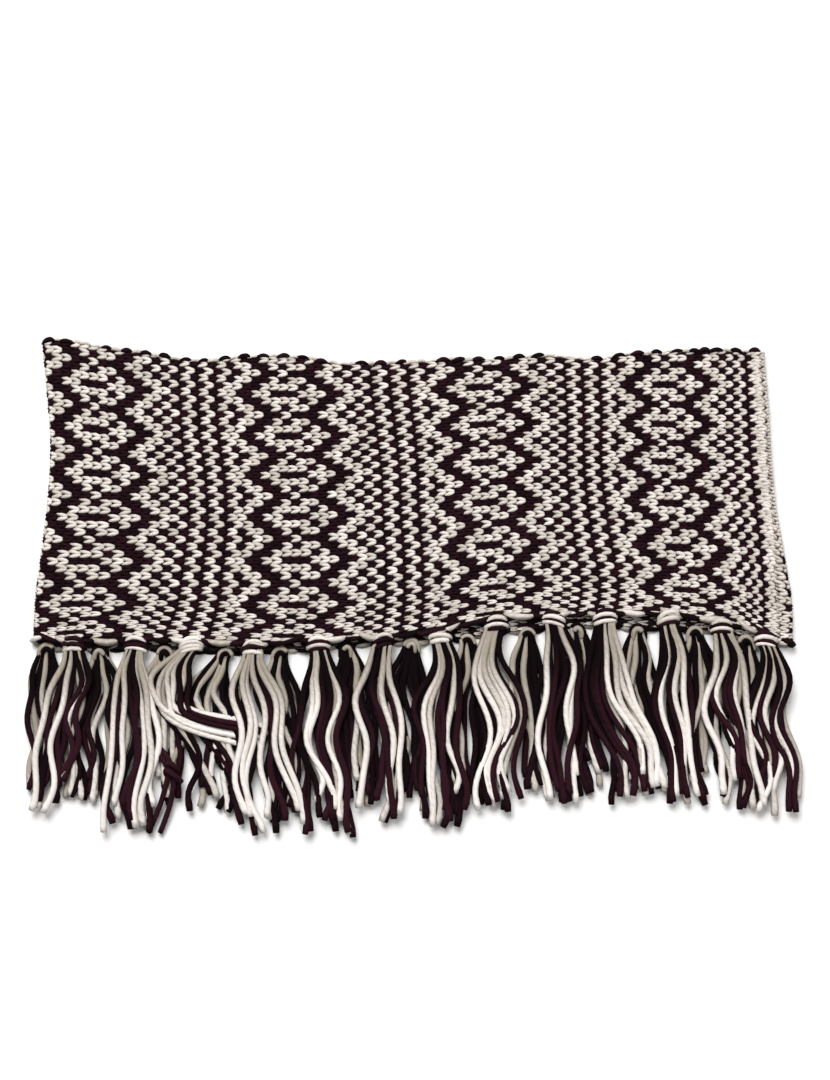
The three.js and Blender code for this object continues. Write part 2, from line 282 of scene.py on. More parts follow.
@dataclass(frozen=True)
class YarnFinish:
    """Soft, loosely spun yarn: faint plies, drawn-out fibres along the strand and a matt bloom."""

    name: str
    light: Colour
    body: Colour
    # groove is the yarn's colour in painted shade: in ply grooves, at a strand's sides and where its tone is
    # low.
    groove: Colour
    sheen: float
    sheen_tint: Colour
    plies: int = 2
    twist: float = 16.0
    ply_depth: float = 0.00016
    streak_depth: float = 0.00030
    fibre_depth: float = 0.00012
    streak_along: float = 0.30
    streak_around: float = 9.0
    fibre_scale: float = 1400.0
    blotch_scale: float = 70.0
    roughness: float = 0.9
    sheen_roughness: float = 0.55
    specular: float = 0.2
    blotch_share: float = 0.4
    streak_share: float = 0.6
    fibre_share: float = 0.3
    ply_shade: float = 0.16
    streak_shade: float = 0.9
    tone_shade: float = 1.1
    side_shade: float = 0.75
    side_phase: float = math.pi / 2 + 0.95

    def material(self) -> bpy.types.Material:
        """Build the finish.

        The ply wave is the sine of the place along the strand over the twist plus the place around it
        times the plies. The streaks are noise that is stretched along the strand and turns with the
        twist. The colour goes from body to light on the strand's tone, partly random and partly painted
        light and shade, and on the streaks. It goes on to groove, the colour of painted shade, where ply
        and streak are low, where the tone is low and at both sides, where strands lie against each other.
        """
        shader = Shader(self.name)
        uv = shader.node("ShaderNodeUVMap", {"uv_map": "strand"}, {})
        along = shader.node("ShaderNodeSeparateXYZ", {}, {0: uv}, 0)
        around = shader.node("ShaderNodeSeparateXYZ", {}, {0: uv}, 1)
        turned = around + along * (1.0 / self.twist)
        ridge = (turned * (2 * math.pi * self.plies)).sine() * 0.5 + 0.5
        # The tone carries random lightness together with painted light and painted shade.
        tone = shader.node("ShaderNodeAttribute", {"attribute_name": "tone"}, {}, "Fac")
        grid = shader.node(
            "ShaderNodeCombineXYZ",
            {},
            {"X": along * self.streak_along, "Y": turned * self.streak_around, "Z": tone * 40.0},
        )
        streak = shader.noise(1.0, 2.0, grid)
        place = shader.node("ShaderNodeTexCoord", {}, {}, "Object")
        fibre = shader.noise(self.fibre_scale, 3.0, place)
        blotch = shader.noise(self.blotch_scale, 2.0, place)
        lit = tone + (blotch - 0.5) * self.blotch_share + (streak - 0.5) * self.streak_share
        lit = lit + (fibre - 0.5) * self.fibre_share
        base = shader.blend(lit.clamped(), self.body, self.light)
        # Painted shade at both sides of a strand, where it lies against its neighbours.
        side = ((around * (4 * math.pi) + self.side_phase).sine() * 0.5 + 0.5) ** 2.0
        # How far the colour goes to the painted shade colour: in ply grooves, low streaks, low tone and at
        # the sides.
        low = (1 - ridge) * self.ply_shade + (0.62 - streak) * self.streak_shade
        low = low + (0.3 - tone) * self.tone_shade + side * self.side_shade
        colour = shader.blend(low.clamped(), base, self.groove)
        ply = shader.bump(ridge, self.ply_depth)
        drawn = shader.bump(streak, self.streak_depth, ply)
        return shader.finish(
            {
                "Base Color": colour,
                "Roughness": self.roughness,
                "Normal": shader.bump(fibre, self.fibre_depth, drawn),
                "Sheen Weight": self.sheen,
                "Sheen Roughness": self.sheen_roughness,
                "Sheen Tint": self.sheen_tint,
                "Specular IOR Level": self.specular,
            }
        )


@dataclass(frozen=True)
class BaseFinish:
    """The inside of the knitting: bars of floating yarn, painted dark as the shade that shows between the
    stitches.
    """

    name: str
    shade: Colour
    float_shade: Colour
    float_pitch: float = 0.0058
    float_cover: float = 0.9
    relief: float = 0.0006
    patch_scale: float = 140.0
    roughness: float = 0.95

    def material(self) -> bpy.types.Material:
        """Build the finish: bars of floating yarn across the cloth, broken up by noise."""
        shader = Shader(self.name)
        place = shader.node("ShaderNodeTexCoord", {}, {}, "Object")
        across = shader.node("ShaderNodeSeparateXYZ", {}, {0: place}, 1)
        bars = (across * (2 * math.pi / self.float_pitch)).sine() * 0.5 + 0.5
        patch = shader.noise(self.patch_scale, 2.0, place)
        share = (bars * patch * self.float_cover).clamped()
        colour = shader.blend(share, self.shade, self.float_shade)
        normal = shader.bump(bars, self.relief)
        return shader.finish({"Base Color": colour, "Roughness": self.roughness, "Normal": normal})


# Yarn colours: light and body bound the lightness, and groove is the colour of painted shade.
BURGUNDY = YarnFinish(
    name="burgundy_yarn",
    light=(0.028, 0.0072, 0.0122, 1.0),
    body=(0.0070, 0.0020, 0.0032, 1.0),
    groove=(0.0030, 0.0012, 0.0016, 1.0),
    sheen=0.012,
    sheen_tint=(0.70, 0.42, 0.56, 1.0),
    specular=0.06,
)
CREAM = YarnFinish(
    name="cream_yarn",
    light=(0.86, 0.805, 0.765, 1.0),
    body=(0.55, 0.495, 0.450, 1.0),
    groove=(0.30, 0.262, 0.215, 1.0),
    sheen=0.04,
    sheen_tint=(1.0, 0.98, 0.92, 1.0),
)
# The inside sheet is painted dark, as the shade between the stitches.
INSIDE_SHADE = BaseFinish(
    name="knit_inside_shade",
    shade=(0.0055, 0.0022, 0.0032, 1.0),
    float_shade=(0.018, 0.011, 0.011, 1.0),
)


@dataclass
class Tubes:
    """Closed tubes of yarn with equal numbers of stations and sides, in millimetres.

    rings is (tube, station, side, xyz), run and tone are (tube, station), the distance along each tube
    and its lightness there, random with painted light and shade, and yarn is one number for each tube.
    """

    rings: Array
    run: Array
    yarn: Array
    tone: Array

    @classmethod
    def along(
        cls, path: Array, half_width: Array, half_height: Array, sides: int, yarn: Array, tone: Array
    ) -> "Tubes":
        """Carry an oval section along paths.

        The section lies in the plane of the side vector, level and square to the path, and of the
        vector square to both: ring = centre + side * half_width * cos + up * half_height * sin.

        Args:
            path: Centre lines, (tube, station, xyz).
            half_width: Half the section's width, (tube, station).
            half_height: Half its height, (tube, station).
            sides: Corners of the section.
            yarn: Yarn number of each tube.
            tone: Lightness at each station, random with painted light and shade, about 0 to 1, (tube,
                station).

        Returns:
            The tubes.
        """
        step = np.gradient(path, axis=1)
        ahead = step / np.linalg.norm(step, axis=2, keepdims=True)
        level = np.stack([-ahead[..., 1], ahead[..., 0], np.zeros_like(ahead[..., 0])], axis=2)
        side = level / np.maximum(np.linalg.norm(level, axis=2, keepdims=True), 1e-6)
        above = np.cross(ahead, side)
        turn = 2 * np.pi * (np.arange(sides) + 0.5) / sides
        wide = half_width[..., None, None] * np.cos(turn)[None, None, :, None] * side[:, :, None, :]
        tall = half_height[..., None, None] * np.sin(turn)[None, None, :, None] * above[:, :, None, :]
        length = np.linalg.norm(np.diff(path, axis=1), axis=2)
        run = np.concatenate([np.zeros((len(path), 1)), np.cumsum(length, axis=1)], axis=1)
        return cls(path[:, :, None, :] + wide + tall, run, np.asarray(yarn), np.asarray(tone))

    def keep(self, chosen: Array) -> "Tubes":
        """The tubes that a mask chooses."""
        return Tubes(self.rings[chosen], self.run[chosen], self.yarn[chosen], self.tone[chosen])


class YarnMesh:
    """Gathers tubes and makes one mesh object of them."""

    def __init__(self, name: str) -> None:
        """Start an empty mesh of the given name."""
        self.name = name
        self.parts: list[Tubes] = []

    def add(self, tubes: Tubes) -> None:
        """Gather more tubes."""
        if len(tubes.rings):
            self.parts.append(tubes)

    @staticmethod
    def _corners(tubes: Tubes, first: int) -> tuple[Array, Array, Array, Array, Array]:
        """Loops of a set of tubes: quads along the sides and one face at each end.

        Args:
            tubes: The tubes.
            first: Number of their first vertex.

        Returns:
            Vertex numbers and UVs of the loops, loops in each face, face materials, and vertex tones.
        """
        count, stations, sides, _ = tubes.rings.shape
        numbers = first + np.arange(count * stations * sides).reshape(count, stations, sides)
        beside = np.roll(numbers, -1, axis=2)
        quads = np.stack([numbers[:, :-1], beside[:, :-1], beside[:, 1:], numbers[:, 1:]], axis=-1)
        near = numbers[:, 0, ::-1]
        far = numbers[:, -1]
        run = np.broadcast_to(tubes.run[:, :, None], (count, stations, sides))
        here = np.broadcast_to(np.arange(sides) / sides, (count, stations - 1, sides))
        there = here + 1.0 / sides
        u = np.stack([run[:, :-1], run[:, :-1], run[:, 1:], run[:, 1:]], axis=-1)
        v = np.stack([here, there, there, here], axis=-1)
        ends = np.full((count * 2 * sides, 2), CUT_FACE)
        ends[:, 0] = np.repeat(np.stack([tubes.run[:, 0], tubes.run[:, -1]]).ravel(), sides)
        loops = np.concatenate([quads.ravel(), near.ravel(), far.ravel()])
        uvs = np.concatenate([np.stack([u.ravel(), v.ravel()], axis=1), ends])
        sizes = np.concatenate([np.full(quads.size // 4, 4), np.full(2 * count, sides)])
        per_tube = np.repeat(tubes.yarn, (stations - 1) * sides)
        stuff = np.concatenate([per_tube, tubes.yarn, tubes.yarn])
        return loops, uvs, sizes, stuff, np.repeat(tubes.tone.ravel(), sides)

    def make(self, materials: list[bpy.types.Material]) -> bpy.types.Object:
        """Make the object.

        Args:
            materials: One for each yarn number.

        Returns:
            The object, with a "strand" UV map and a "tone" attribute.
        """
        vertices = np.concatenate([part.rings.reshape(-1, 3) for part in self.parts]) * MM
        firsts = np.cumsum([0] + [part.rings.size // 3 for part in self.parts])
        pieces = [self._corners(part, first) for part, first in zip(self.parts, firsts)]
        loops, uvs, sizes, stuff, tones = (np.concatenate(column) for column in zip(*pieces))
        mesh = bpy.data.meshes.new(self.name)
        mesh.vertices.add(len(vertices))
        mesh.vertices.foreach_set("co", vertices.astype(np.float32).ravel())
        mesh.loops.add(len(loops))
        mesh.loops.foreach_set("vertex_index", loops.astype(np.int32))
        mesh.polygons.add(len(sizes))
        starts = np.concatenate([[0], np.cumsum(sizes)[:-1]])
        mesh.polygons.foreach_set("loop_start", starts.astype(np.int32))
        mesh.update(calc_edges=True)
        for material in materials:
            mesh.materials.append(material)
        mesh.polygons.foreach_set("material_index", stuff.astype(np.int32))
        mesh.polygons.foreach_set("use_smooth", np.ones(len(sizes), dtype=bool))
        layer = mesh.uv_layers.new(name="strand")
        layer.data.foreach_set("uv", uvs.astype(np.float32).ravel())
        tone = mesh.attributes.new("tone", "FLOAT", "POINT")
        tone.data.foreach_set("value", tones.astype(np.float32))
        mesh.validate(clean_customdata=False)
        made = bpy.data.objects.new(self.name, mesh)
        bpy.context.collection.objects.link(made)
        LOG.info("%s: %d triangles", self.name, int(np.sum(sizes - 2)))
        return made


# The outline along the strip, in millimetres: x, the top edge, the front hem and the back hem
OUTLINE = (
    (-323, 208, -42, -47),
    (-301, 213, -44, -51),
    (-260, 206.5, -45, -52.5),
    (-223, 201.5, -44, -52.5),
    (-185, 195.5, -45, -54),
    (-138, 199, -47.5, -55),
    (-98, 199, -45, -52.5),
    (-70, 194, -43.5, -50),
    (-31, 193, -41.5, -47.5),
    (1, 194.5, -39, -46),
    (34, 196.5, -34, -43.5),
    (71, 197, -25.5, -40),
    (113, 200, -23, -35),
    (154, 197, -21.5, -32.5),
    (193, 202, -21.5, -34),
    (238, 204, -24.5, -35.5),
    (283, 204, -33, -42.5),
    (309, 202.5, -41, -47.5),
    (324, 200.5, -42, -48),
)

# The folds and the seam, from the hem up: y, the left fold, the seam and the right fold
ENDS = (
    (-56, -323, 309, 323.5),
    (-42, -322.5, 309, 323.5),
    (-8, -321, 308.6, 322.5),
    (9, -319, 308.3, 320),
    (38, -315, 307, 315),
    (76, -310.5, 303.8, 308.4),
    (127, -308, 299.4, 304.4),
    (161, -310.5, 296.5, 302.5),
    (214, -315, 292.5, 297.5),
)

# The courses of the front that the next two tables have a column for
GRID_COURSES = (-4, 0, 7, 28, 49, 70, 78)

# Where they end: wale, then x at each of those courses, in millimetres
COURSE_PLACES = (
    (-1, -321, -289, -236.5, -76, 89, 246, 293),
    (5, -320.5, -288.5, -235.5, -73.5, 91.5, 245.5, 295.5),
    (11, -318.5, -286.5, -234.5, -69.5, 94, 244.5, 298),
    (17, -318.5, -286.5, -231, -65, 94.5, 244, 300.5),
    (23, -324, -292, -230, -63.5, 95.5, 251, 303.5),
    (29, -332, -300.5, -236.5, -62, 99, 258, 306.3),
    (35, -337, -306.5, -242.5, -63.5, 103.5, 264.5, 307.8),
    (43, -339, -309.5, -256, -68.5, 99, 260, 308.2),
)

# Where the wales run: wale, then its height at each of those courses, in millimetres
WALE_HEIGHTS = (
    (-1, 217, 215.5, 207.5, 199.5, 204.5, 208, 207.5),
    (5, 178.5, 177, 170, 166, 173, 174, 174),
    (11, 139.5, 138.5, 132.5, 131, 142, 140, 140),
    (17, 100.5, 100, 97, 98.5, 110, 108, 107),
    (23, 62, 62, 61, 63.5, 76, 72.5, 70),
    (29, 24.5, 24.5, 24.5, 26.5, 40, 34.5, 31),
    (35, -11.5, -12, -11, -11.5, 4.5, -2, -8.5),
    (41, -37, -37, -34, -38, -17, -24, -35.5),
    (43, -42.5, -42.5, -41, -42.5, -22.5, -28.5, -40.5),
)


@dataclass(frozen=True)
class Strip:
    """The seamed strip's form: two walls lying on each other, joined round two folds.

    wall is a wall's thickness and top the height of the upper face. A fold reaches fold_reach sideways,
    and no more than fold_share of the flap between the seam and the right fold.
    """

    wall: float = 5.0
    top: float = 10.3
    fold_reach: float = 5.0
    fold_share: float = 0.62
    seam_gap: float = 0.3
    back_set_back: float = 1.0
    swell_size: float = 0.7
    swell_length: float = 148.0
    swell_rise: float = 121.0
    swell_fade: float = 40.0
    pressed: float = 0.1
    top_edge: Column = field(default_factory=lambda: Column.of(OUTLINE, 1))
    hem: Column = field(default_factory=lambda: Column.of(OUTLINE, 2))
    back_hem: Column = field(default_factory=lambda: Column.of(OUTLINE, 3))
    left: Column = field(default_factory=lambda: Column.of(ENDS, 1))
    seam: Column = field(default_factory=lambda: Column.of(ENDS, 2))
    right: Column = field(default_factory=lambda: Column.of(ENDS, 3))

    def bend(self, y: Array) -> Array:
        """How far the right fold's round reaches, which is less where the seam lies close to it."""
        return np.minimum(self.fold_reach, self.fold_share * (self.right(y) - self.seam(y) - self.seam_gap))

    def left_arc(self) -> float:
        """Length of cloth round the left fold: half an oval's rim."""
        return math.pi * math.sqrt((self.fold_reach**2 + (self.top / 2) ** 2) / 2)

    def right_arc(self, y: Array) -> Array:
        """Length of cloth round the right fold."""
        return math.pi * np.sqrt((self.bend(y) ** 2 + (self.top / 2) ** 2) / 2)

    def back_run(self, y: Array) -> Array:
        """Length of the flat part of the back."""
        return self.right(y) - self.bend(y) - self.left(y) - self.fold_reach

    def far_end(self, y: Array) -> Array:
        """The flat place of the strip's other end, which comes round to the seam."""
        flap = self.right(y) - self.bend(y) - self.seam(y) - self.seam_gap
        turn = self.left(y) + self.fold_reach - self.left_arc()
        return turn - self.back_run(y) - self.right_arc(y) - flap

    def swell(self, x: Array, y: Array) -> Array:
        """Soft uneven swells of the front, which fade out to its folds and edges."""
        along = np.sin(2 * np.pi * x / self.swell_length + y / self.swell_rise)
        across = np.cos(2 * np.pi * y / self.swell_rise - x / self.swell_length)
        ends = smooth((x - self.left(y)) / self.swell_fade - 0.2)
        ends = ends * smooth((self.seam(y) - x) / self.swell_fade - 0.2)
        edges = smooth((self.top_edge(x) - y) / self.swell_fade)
        edges = edges * smooth((y - self.hem(x)) / self.swell_fade)
        return self.swell_size * (along + 0.6 * across) * ends * edges

    def wrap(self, flat: Array, y: Array) -> tuple[Array, Array, Array, Array, Array]:
        """Lay flat places on the strip's outer face, in section.

        From the seam the strip runs left over the front, round the left fold (a half oval), right along
        the back, round the right fold (a half oval) and left to the seam. Flat places on the front are
        x itself, and they fall from there on.

        Args:
            flat: Flat place along the strip.
            y: Height up the cloth.

        Returns:
            x, z, the outward normal's x and z, and 0 on the front to 1 on the back.
        """
        middle = self.top / 2
        hook = self.left(y) + self.fold_reach
        bend = self.bend(y)
        inner = self.right(y) - bend
        turn_left = np.clip((hook - flat) / self.left_arc(), 0.0, 1.0) * np.pi
        back_start = hook - self.left_arc()
        back_end = back_start - self.back_run(y)
        turn_right = np.clip((back_end - flat) / self.right_arc(y), 0.0, 1.0) * np.pi
        flap_start = back_end - self.right_arc(y)
        on_front = flat >= hook
        on_left = (flat < hook) & (flat >= back_start)
        on_back = (flat < back_start) & (flat >= back_end)
        on_right = (flat < back_end) & (flat >= flap_start)
        zones = [on_front, on_left, on_back, on_right]
        x = np.select(
            zones,
            [
                flat,
                hook - self.fold_reach * np.sin(turn_left),
                hook + back_start - flat,
                inner + bend * np.sin(turn_right),
            ],
            inner - (flap_start - flat),
        )
        z = np.select(
            zones,
            [
                self.top + self.swell(flat, y),
                middle + middle * np.cos(turn_left),
                np.zeros_like(flat),
                middle - middle * np.cos(turn_right),
            ],
            self.top,
        )
        normal_x = np.select(zones, [0 * flat, -np.sin(turn_left), 0 * flat, np.sin(turn_right)], 0.0)
        upward = [1 + 0 * flat, np.cos(turn_left), -1 + 0 * flat, -np.cos(turn_right)]
        normal_z = np.select(zones, upward, 1.0)
        return x, z, normal_x, normal_z, smooth(turn_left / np.pi)

    def edges(self, flat: Array, y: Array) -> tuple[Array, Array]:
        """The hem and top edge of the layer that a flat place lies in.

        Args:
            flat: Flat place along the strip.
            y: Height up the cloth.

        Returns:
            Heights of the hem and of the top edge.
        """
        x, _, _, _, behind = self.wrap(flat, y)
        hem = mix(self.hem(x), self.back_hem(x), behind)
        return hem, self.top_edge(x) - self.back_set_back * behind

    def lay(self, points: Array) -> Array:
        """Lay points of the flat strip on its form.

        Past an edge's round the cloth rolls over: the angle is the distance past it over the round's
        radius, and the point stands off the round's centre along the turned normal. What would sink
        into the floor is pressed flat on it.

        Args:
            points: Flat place, height up the cloth and height off the face, in the last axis.

        Returns:
            The points in the scarf's frame.
        """
        flat, across, off = points[..., 0], points[..., 1], points[..., 2]
        hem, top = self.edges(flat, across)
        radius = self.wall / 2
        inside = np.clip(across, hem + radius, top - radius)
        roll = (across - inside) / radius
        x, z, normal_x, normal_z, _ = self.wrap(flat, inside)
        reach = (radius + off) * np.cos(roll) - radius
        sideways = (radius + off) * np.sin(roll)
        height = np.maximum(z + normal_z * reach, self.pressed)
        return np.stack([x + normal_x * reach, inside + sideways, height], axis=-1)


@dataclass(frozen=True)
class Chart:
    """The colour chart, one repeat of lozenges and chevrons, and the plain courses at the seam."""

    rows: tuple[str, ...] = (
        "CCBBBCCCBBCCBCBCBCCBB",
        "BCCCCBCBBCCBCBCBCBCCB",
        "BBCBCCBBCCBCBCBCBCBCC",
        "CBBCBBBCCBCBCBCBCBCBC",
    )
    first_wale: int = 5
    wale_repeat: int = 6
    checker_from: int = 11
    checker_to: int = 18
    parts_back_from: int = 70
    last_course: int = 78
    edge_course: int = 2
    loops_from: int = 28
    loops_to: int = 37

    def letters(self) -> Array:
        """The chart as numbers, a row for each wale of the repeat from its middle wale."""
        mirrored = [self.rows[min(wale, self.wale_repeat - wale)] for wale in range(self.wale_repeat)]
        return np.array([[letter == "C" for letter in row] for row in mirrored], dtype=int)

    def yarn(self, course: Array, wale: Array, from_far_end: Array) -> Array:
        """The yarn of each stitch.

        The last course before the seam and the flap's courses past it are cream. Where the flap turns
        under, the yarn changes from wale to wale, and a course sooner in the fold's lower half.

        Args:
            course: Course number on the front, falling onto the back.
            wale: Wale number from the top edge.
            from_far_end: Courses from the strip's other end.

        Returns:
            Yarn numbers.
        """
        letters = self.letters()
        repeat = letters.shape[1]
        worked = letters[(wale - self.first_wale) % self.wale_repeat, course % repeat]
        worked = np.where(course == self.last_course, Yarn.CREAM.value, worked)
        outer = (wale >= self.loops_from) & (wale < self.loops_to)
        looped = (from_far_end == self.edge_course) | ((from_far_end == self.edge_course - 1) & outer)
        worked = np.where(looped, (wale + 1) % 2, worked)
        return np.where((from_far_end < self.edge_course) & ~looped, Yarn.CREAM.value, worked)

    def stagger(self, course: Array, wale: Array) -> Array:
        """How neighbouring wales part in the checks: 1 or -1 there, else 0, the other way by the seam."""
        place = course % len(self.rows[0])
        checks = smooth((place - self.checker_from) / 2.0) * smooth((self.checker_to + 2 - place) / 2.0)
        return checks * np.where(course < self.parts_back_from, 1, -1) * (2 * (wale % 2) - 1)


@dataclass
class Places:
    """Where stitches lie on the flat strip, as equal grids of courses by wales.

    flat and height are a stitch's point, length and pitch its size along and across, slope how its wale
    climbs and from_far_end the courses to the strip's other end.
    """

    course: Array
    wale: Array
    flat: Array
    height: Array
    length: Array
    pitch: Array
    slope: Array
    from_far_end: Array


@dataclass(frozen=True)
class EdgeLook:
    """Sizes of an edge's long stitches: pairs are the least and the most."""

    pitch: float
    reach: tuple[float, float]
    bow: tuple[float, float]
    radius: tuple[float, float]
    slant: float
    slant_spread: float
    set_in: float
    on_top: Yarn
    lift: float = 0.7
    off: float = -1.25
    dip: float = 1.8
    jitter: float = 0.9
    odd_share: float = 0.08


TOP_EDGE = EdgeLook(
    pitch=8.3,
    reach=(0.62, 0.85),
    bow=(1.6, 3.2),
    radius=(2.0, 2.6),
    slant=0.3,
    slant_spread=0.5,
    set_in=2.4,
    on_top=Yarn.BURGUNDY,
)
HEM_EDGE = EdgeLook(
    pitch=16.0,
    reach=(0.62, 0.86),
    bow=(1.0, 3.4),
    radius=(2.3, 3.1),
    slant=0.8,
    slant_spread=1.7,
    set_in=3.4,
    on_top=Yarn.CREAM,
    off=-0.9,
)


@dataclass(frozen=True)
class Stitching:
    """The stocking stitch: two legs of yarn to each stitch, on every course and wale."""

    strip: Strip = field(default_factory=Strip)
    chart: Chart = field(default_factory=Chart)
    wales: int = 43
    first_course: int = -4
    back_courses: int = 82
    hem_level: float = -42.0
    upper_level: float = 190.0
    cream_reach: float = 1.17
    burgundy_reach: float = 1.4
    stagger_share: float = 0.2
    roll_limit: float = 1.75
    leg_width: float = 0.3078
    least_pitch: float = 4.4
    leg_height: float = 2.0
    point_part: float = 0.060
    open_part: float = 0.395
    cream_lift: float = 0.12
    burgundy_lift: float = -0.06
    leg_tone: float = 0.42
    point_spread: float = 0.22
    height_spread: float = 0.16
    lift_spread: float = 0.1
    skew_spread: float = 0.03
    tone_spread: float = 0.08
    seam_radius: float = 0.8
    seam_sunk: float = 1.2
    seam_arch: float = 0.9
    seam_lean: tuple[float, float] = (1.1, 1.7)
    # The seam's tones, set low as painted shade in its groove.
    seam_shade_tones: tuple[float, float] = (-0.5, -0.1)
    place: Grid = field(default_factory=lambda: Grid.of(GRID_COURSES, COURSE_PLACES))
    height: Grid = field(default_factory=lambda: Grid.of(GRID_COURSES, WALE_HEIGHTS))

    def level(self, wale: Array) -> Array:
        """About how high a wale lies, for reading the strip's folds."""
        return mix(self.upper_level, self.hem_level, wale / self.wales)

    def rise(self, course: Array, wale: Array) -> Array:
        """How far up the front a wale lies at a course, as a share of the way from hem to top edge."""
        hem, top = self.strip.edges(self.place(course, wale), self.level(wale))
        return (self.height(course, wale) - hem) / (top - hem)

    def back_height(self, wale: Array, flat: Array, done: Array) -> Array:
        """Height of a wale on the folds and the back: its rise goes from the left fold's to the seam's.

        Args:
            wale: Wale number.
            flat: Flat place.
            done: Share of the way round, from the left fold to the strip's other end.

        Returns:
            The heights.
        """
        hem, top = self.strip.edges(flat, self.level(wale))
        first = self.rise(np.full(wale.shape, float(self.first_course)), wale)
        last = self.rise(np.full(wale.shape, float(self.chart.last_course)), wale)
        return mix(hem, top, mix(first, last, done))

    def front_places(self) -> Places:
        """The stitches of the front, from the left fold to the seam."""
        courses = np.arange(self.first_course + 1, self.chart.last_course + 1)
        course, wale = np.meshgrid(courses, np.arange(self.wales), indexing="ij")
        flat = self.place(course, wale)
        height = self.height(course, wale)
        length = flat - self.place(course - 1, wale)
        pitch = self.height(course, wale - 0.5) - self.height(course, wale + 0.5)
        slope = np.gradient(height, axis=0) / np.gradient(flat, axis=0)
        return Places(course, wale, flat, height, length, pitch, slope, np.full(course.shape, FAR_OFF))

    def back_places(self) -> Places:
        """The stitches of the folds and the back, at even courses to the far end."""
        number, wale = np.meshgrid(np.arange(self.back_courses + 1), np.arange(self.wales), indexing="ij")
        start = self.place(np.full(number.shape, self.first_course), wale)
        length = (start - self.strip.far_end(self.level(wale))) / self.back_courses
        flat = start - number * length
        done = number / self.back_courses
        height = self.back_height(wale, flat, done)
        pitch = self.back_height(wale - 0.5, flat, done) - self.back_height(wale + 0.5, flat, done)
        slope = np.gradient(height, axis=0) / np.gradient(flat, axis=0)
        left = self.back_courses - number
        return Places(self.first_course - number, wale, flat, height, length, pitch, slope, left)

    def legs(self, places: Places, stations: int, sides: int, rng: np.random.Generator) -> Tubes:
        """Both legs of each stitch.

        From the point back to the open end a leg's middle line parts from the wale's middle as a power
        of the share of its length, its section swells and falls off as a sine, and it dips under its
        neighbours at both ends: off = lift - 2.0 - 0.6 (1 - share)^6 - 1.8 share^2.6.

        Args:
            places: The stitches.
            stations: Stations along a leg.
            sides: Corners of its section.
            rng: Random source for the unevenness of hand knitting.

        Returns:
            The legs, laid on the strip.
        """
        course, wale, slope = places.course.ravel(), places.wale.ravel(), places.slope.ravel()
        length, pitch = places.length.ravel(), places.pitch.ravel()
        yarn = self.chart.yarn(course, wale, places.from_far_end.ravel())
        count = len(course)
        point = places.flat.ravel() + length * self.stagger_share * self.chart.stagger(course, wale)
        point = point + rng.normal(0, self.point_spread, count)
        height = places.height.ravel() + rng.normal(0, self.height_spread, count)
        lift = np.where(yarn == Yarn.CREAM.value, self.cream_lift, self.burgundy_lift)
        lift = lift + rng.normal(0, self.lift_spread, count)
        tone = np.clip(rng.normal(self.leg_tone, self.tone_spread, count), 0, 1)
        share = np.linspace(0.0, 1.0, stations)[None, :] ** 1.3
        hand = np.array([1.0, -1.0])[:, None, None]
        skew = rng.normal(0, self.skew_spread, count)[:, None]
        size = pitch[:, None]
        reach = np.where(yarn == Yarn.CREAM.value, self.cream_reach, self.burgundy_reach)
        back = (length * reach)[:, None] * share
        flat = np.broadcast_to(point[:, None] - back, (2, count, stations))
        part = self.point_part + self.open_part * share**0.85
        across = (height[:, None] - slope[:, None] * back) + size * (hand * part + skew * share)
        off = lift[:, None] - 2.0 - 0.6 * (1 - share) ** 6 - 1.8 * share**2.6 + 0 * across
        path = np.stack([flat, across, off], axis=-1).reshape(2 * count, stations, 3)
        swell = np.sin(np.pi * (0.17 + 0.72 * share)) ** 0.62
        wide = self.leg_width * np.maximum(size, self.least_pitch)
        half_width = np.broadcast_to(wide * swell, (2, count, stations)).reshape(2 * count, stations)
        half_height = self.leg_height * np.broadcast_to(swell, half_width.shape)
        # Painted shade: each leg darkens towards its open end and its point, where it dips under its
        # neighbours.
        shade = np.tile(tone[:, None] - 0.55 * share**2.2 - 0.15 * (1 - share) ** 5, (2, 1))
        tubes = Tubes.along(path, half_width, half_height, sides, np.tile(yarn, 2), shade)
        middle = path[:, stations // 2]
        hem, top = self.strip.edges(middle[:, 0], middle[:, 1])
        radius = self.strip.wall / 2
        past = np.maximum(middle[:, 1] - (top - radius), (hem + radius) - middle[:, 1])
        kept = tubes.keep(past < self.roll_limit * radius)
        kept.rings = self.strip.lay(kept.rings)
        return kept

    def seam_stitches(self, rng: np.random.Generator) -> Tubes:
        """The sewing that closes the strip: one short slanted stitch over the groove for each wale.

        Each runs straight from one side of the groove to the other, slants down a little and arches over
        it as 1 - s^2.

        Args:
            rng: Random source.

        Returns:
            The stitches.
        """
        wale = np.arange(1, self.wales)[:, None]
        last = np.full(wale.shape, float(self.chart.last_course))
        height = self.height(last, wale)
        pitch = self.height(last, wale - 0.5) - self.height(last, wale + 0.5)
        s = np.linspace(-1.0, 1.0, 6)[None, :]
        lean = rng.uniform(*self.seam_lean, (len(wale), 1))
        across = height - 0.2 * pitch * s
        place = self.strip.seam(across) + 0.3 + lean * s
        rise = self.strip.top - self.seam_sunk + self.seam_arch * (1 - s**2)
        rise = rise + rng.normal(0, 0.12, (len(wale), 1))
        thick = np.full(place.shape, self.seam_radius)
        # Painted shade: the sewing is set dark, as the shade in the seam's groove.
        tone = rng.uniform(*self.seam_shade_tones, (len(wale), 1)) + 0 * s
        yarn = np.full(len(wale), Yarn.CREAM.value)
        return Tubes.along(np.stack([place, across, rise], axis=-1), thick, thick, 6, yarn, tone)

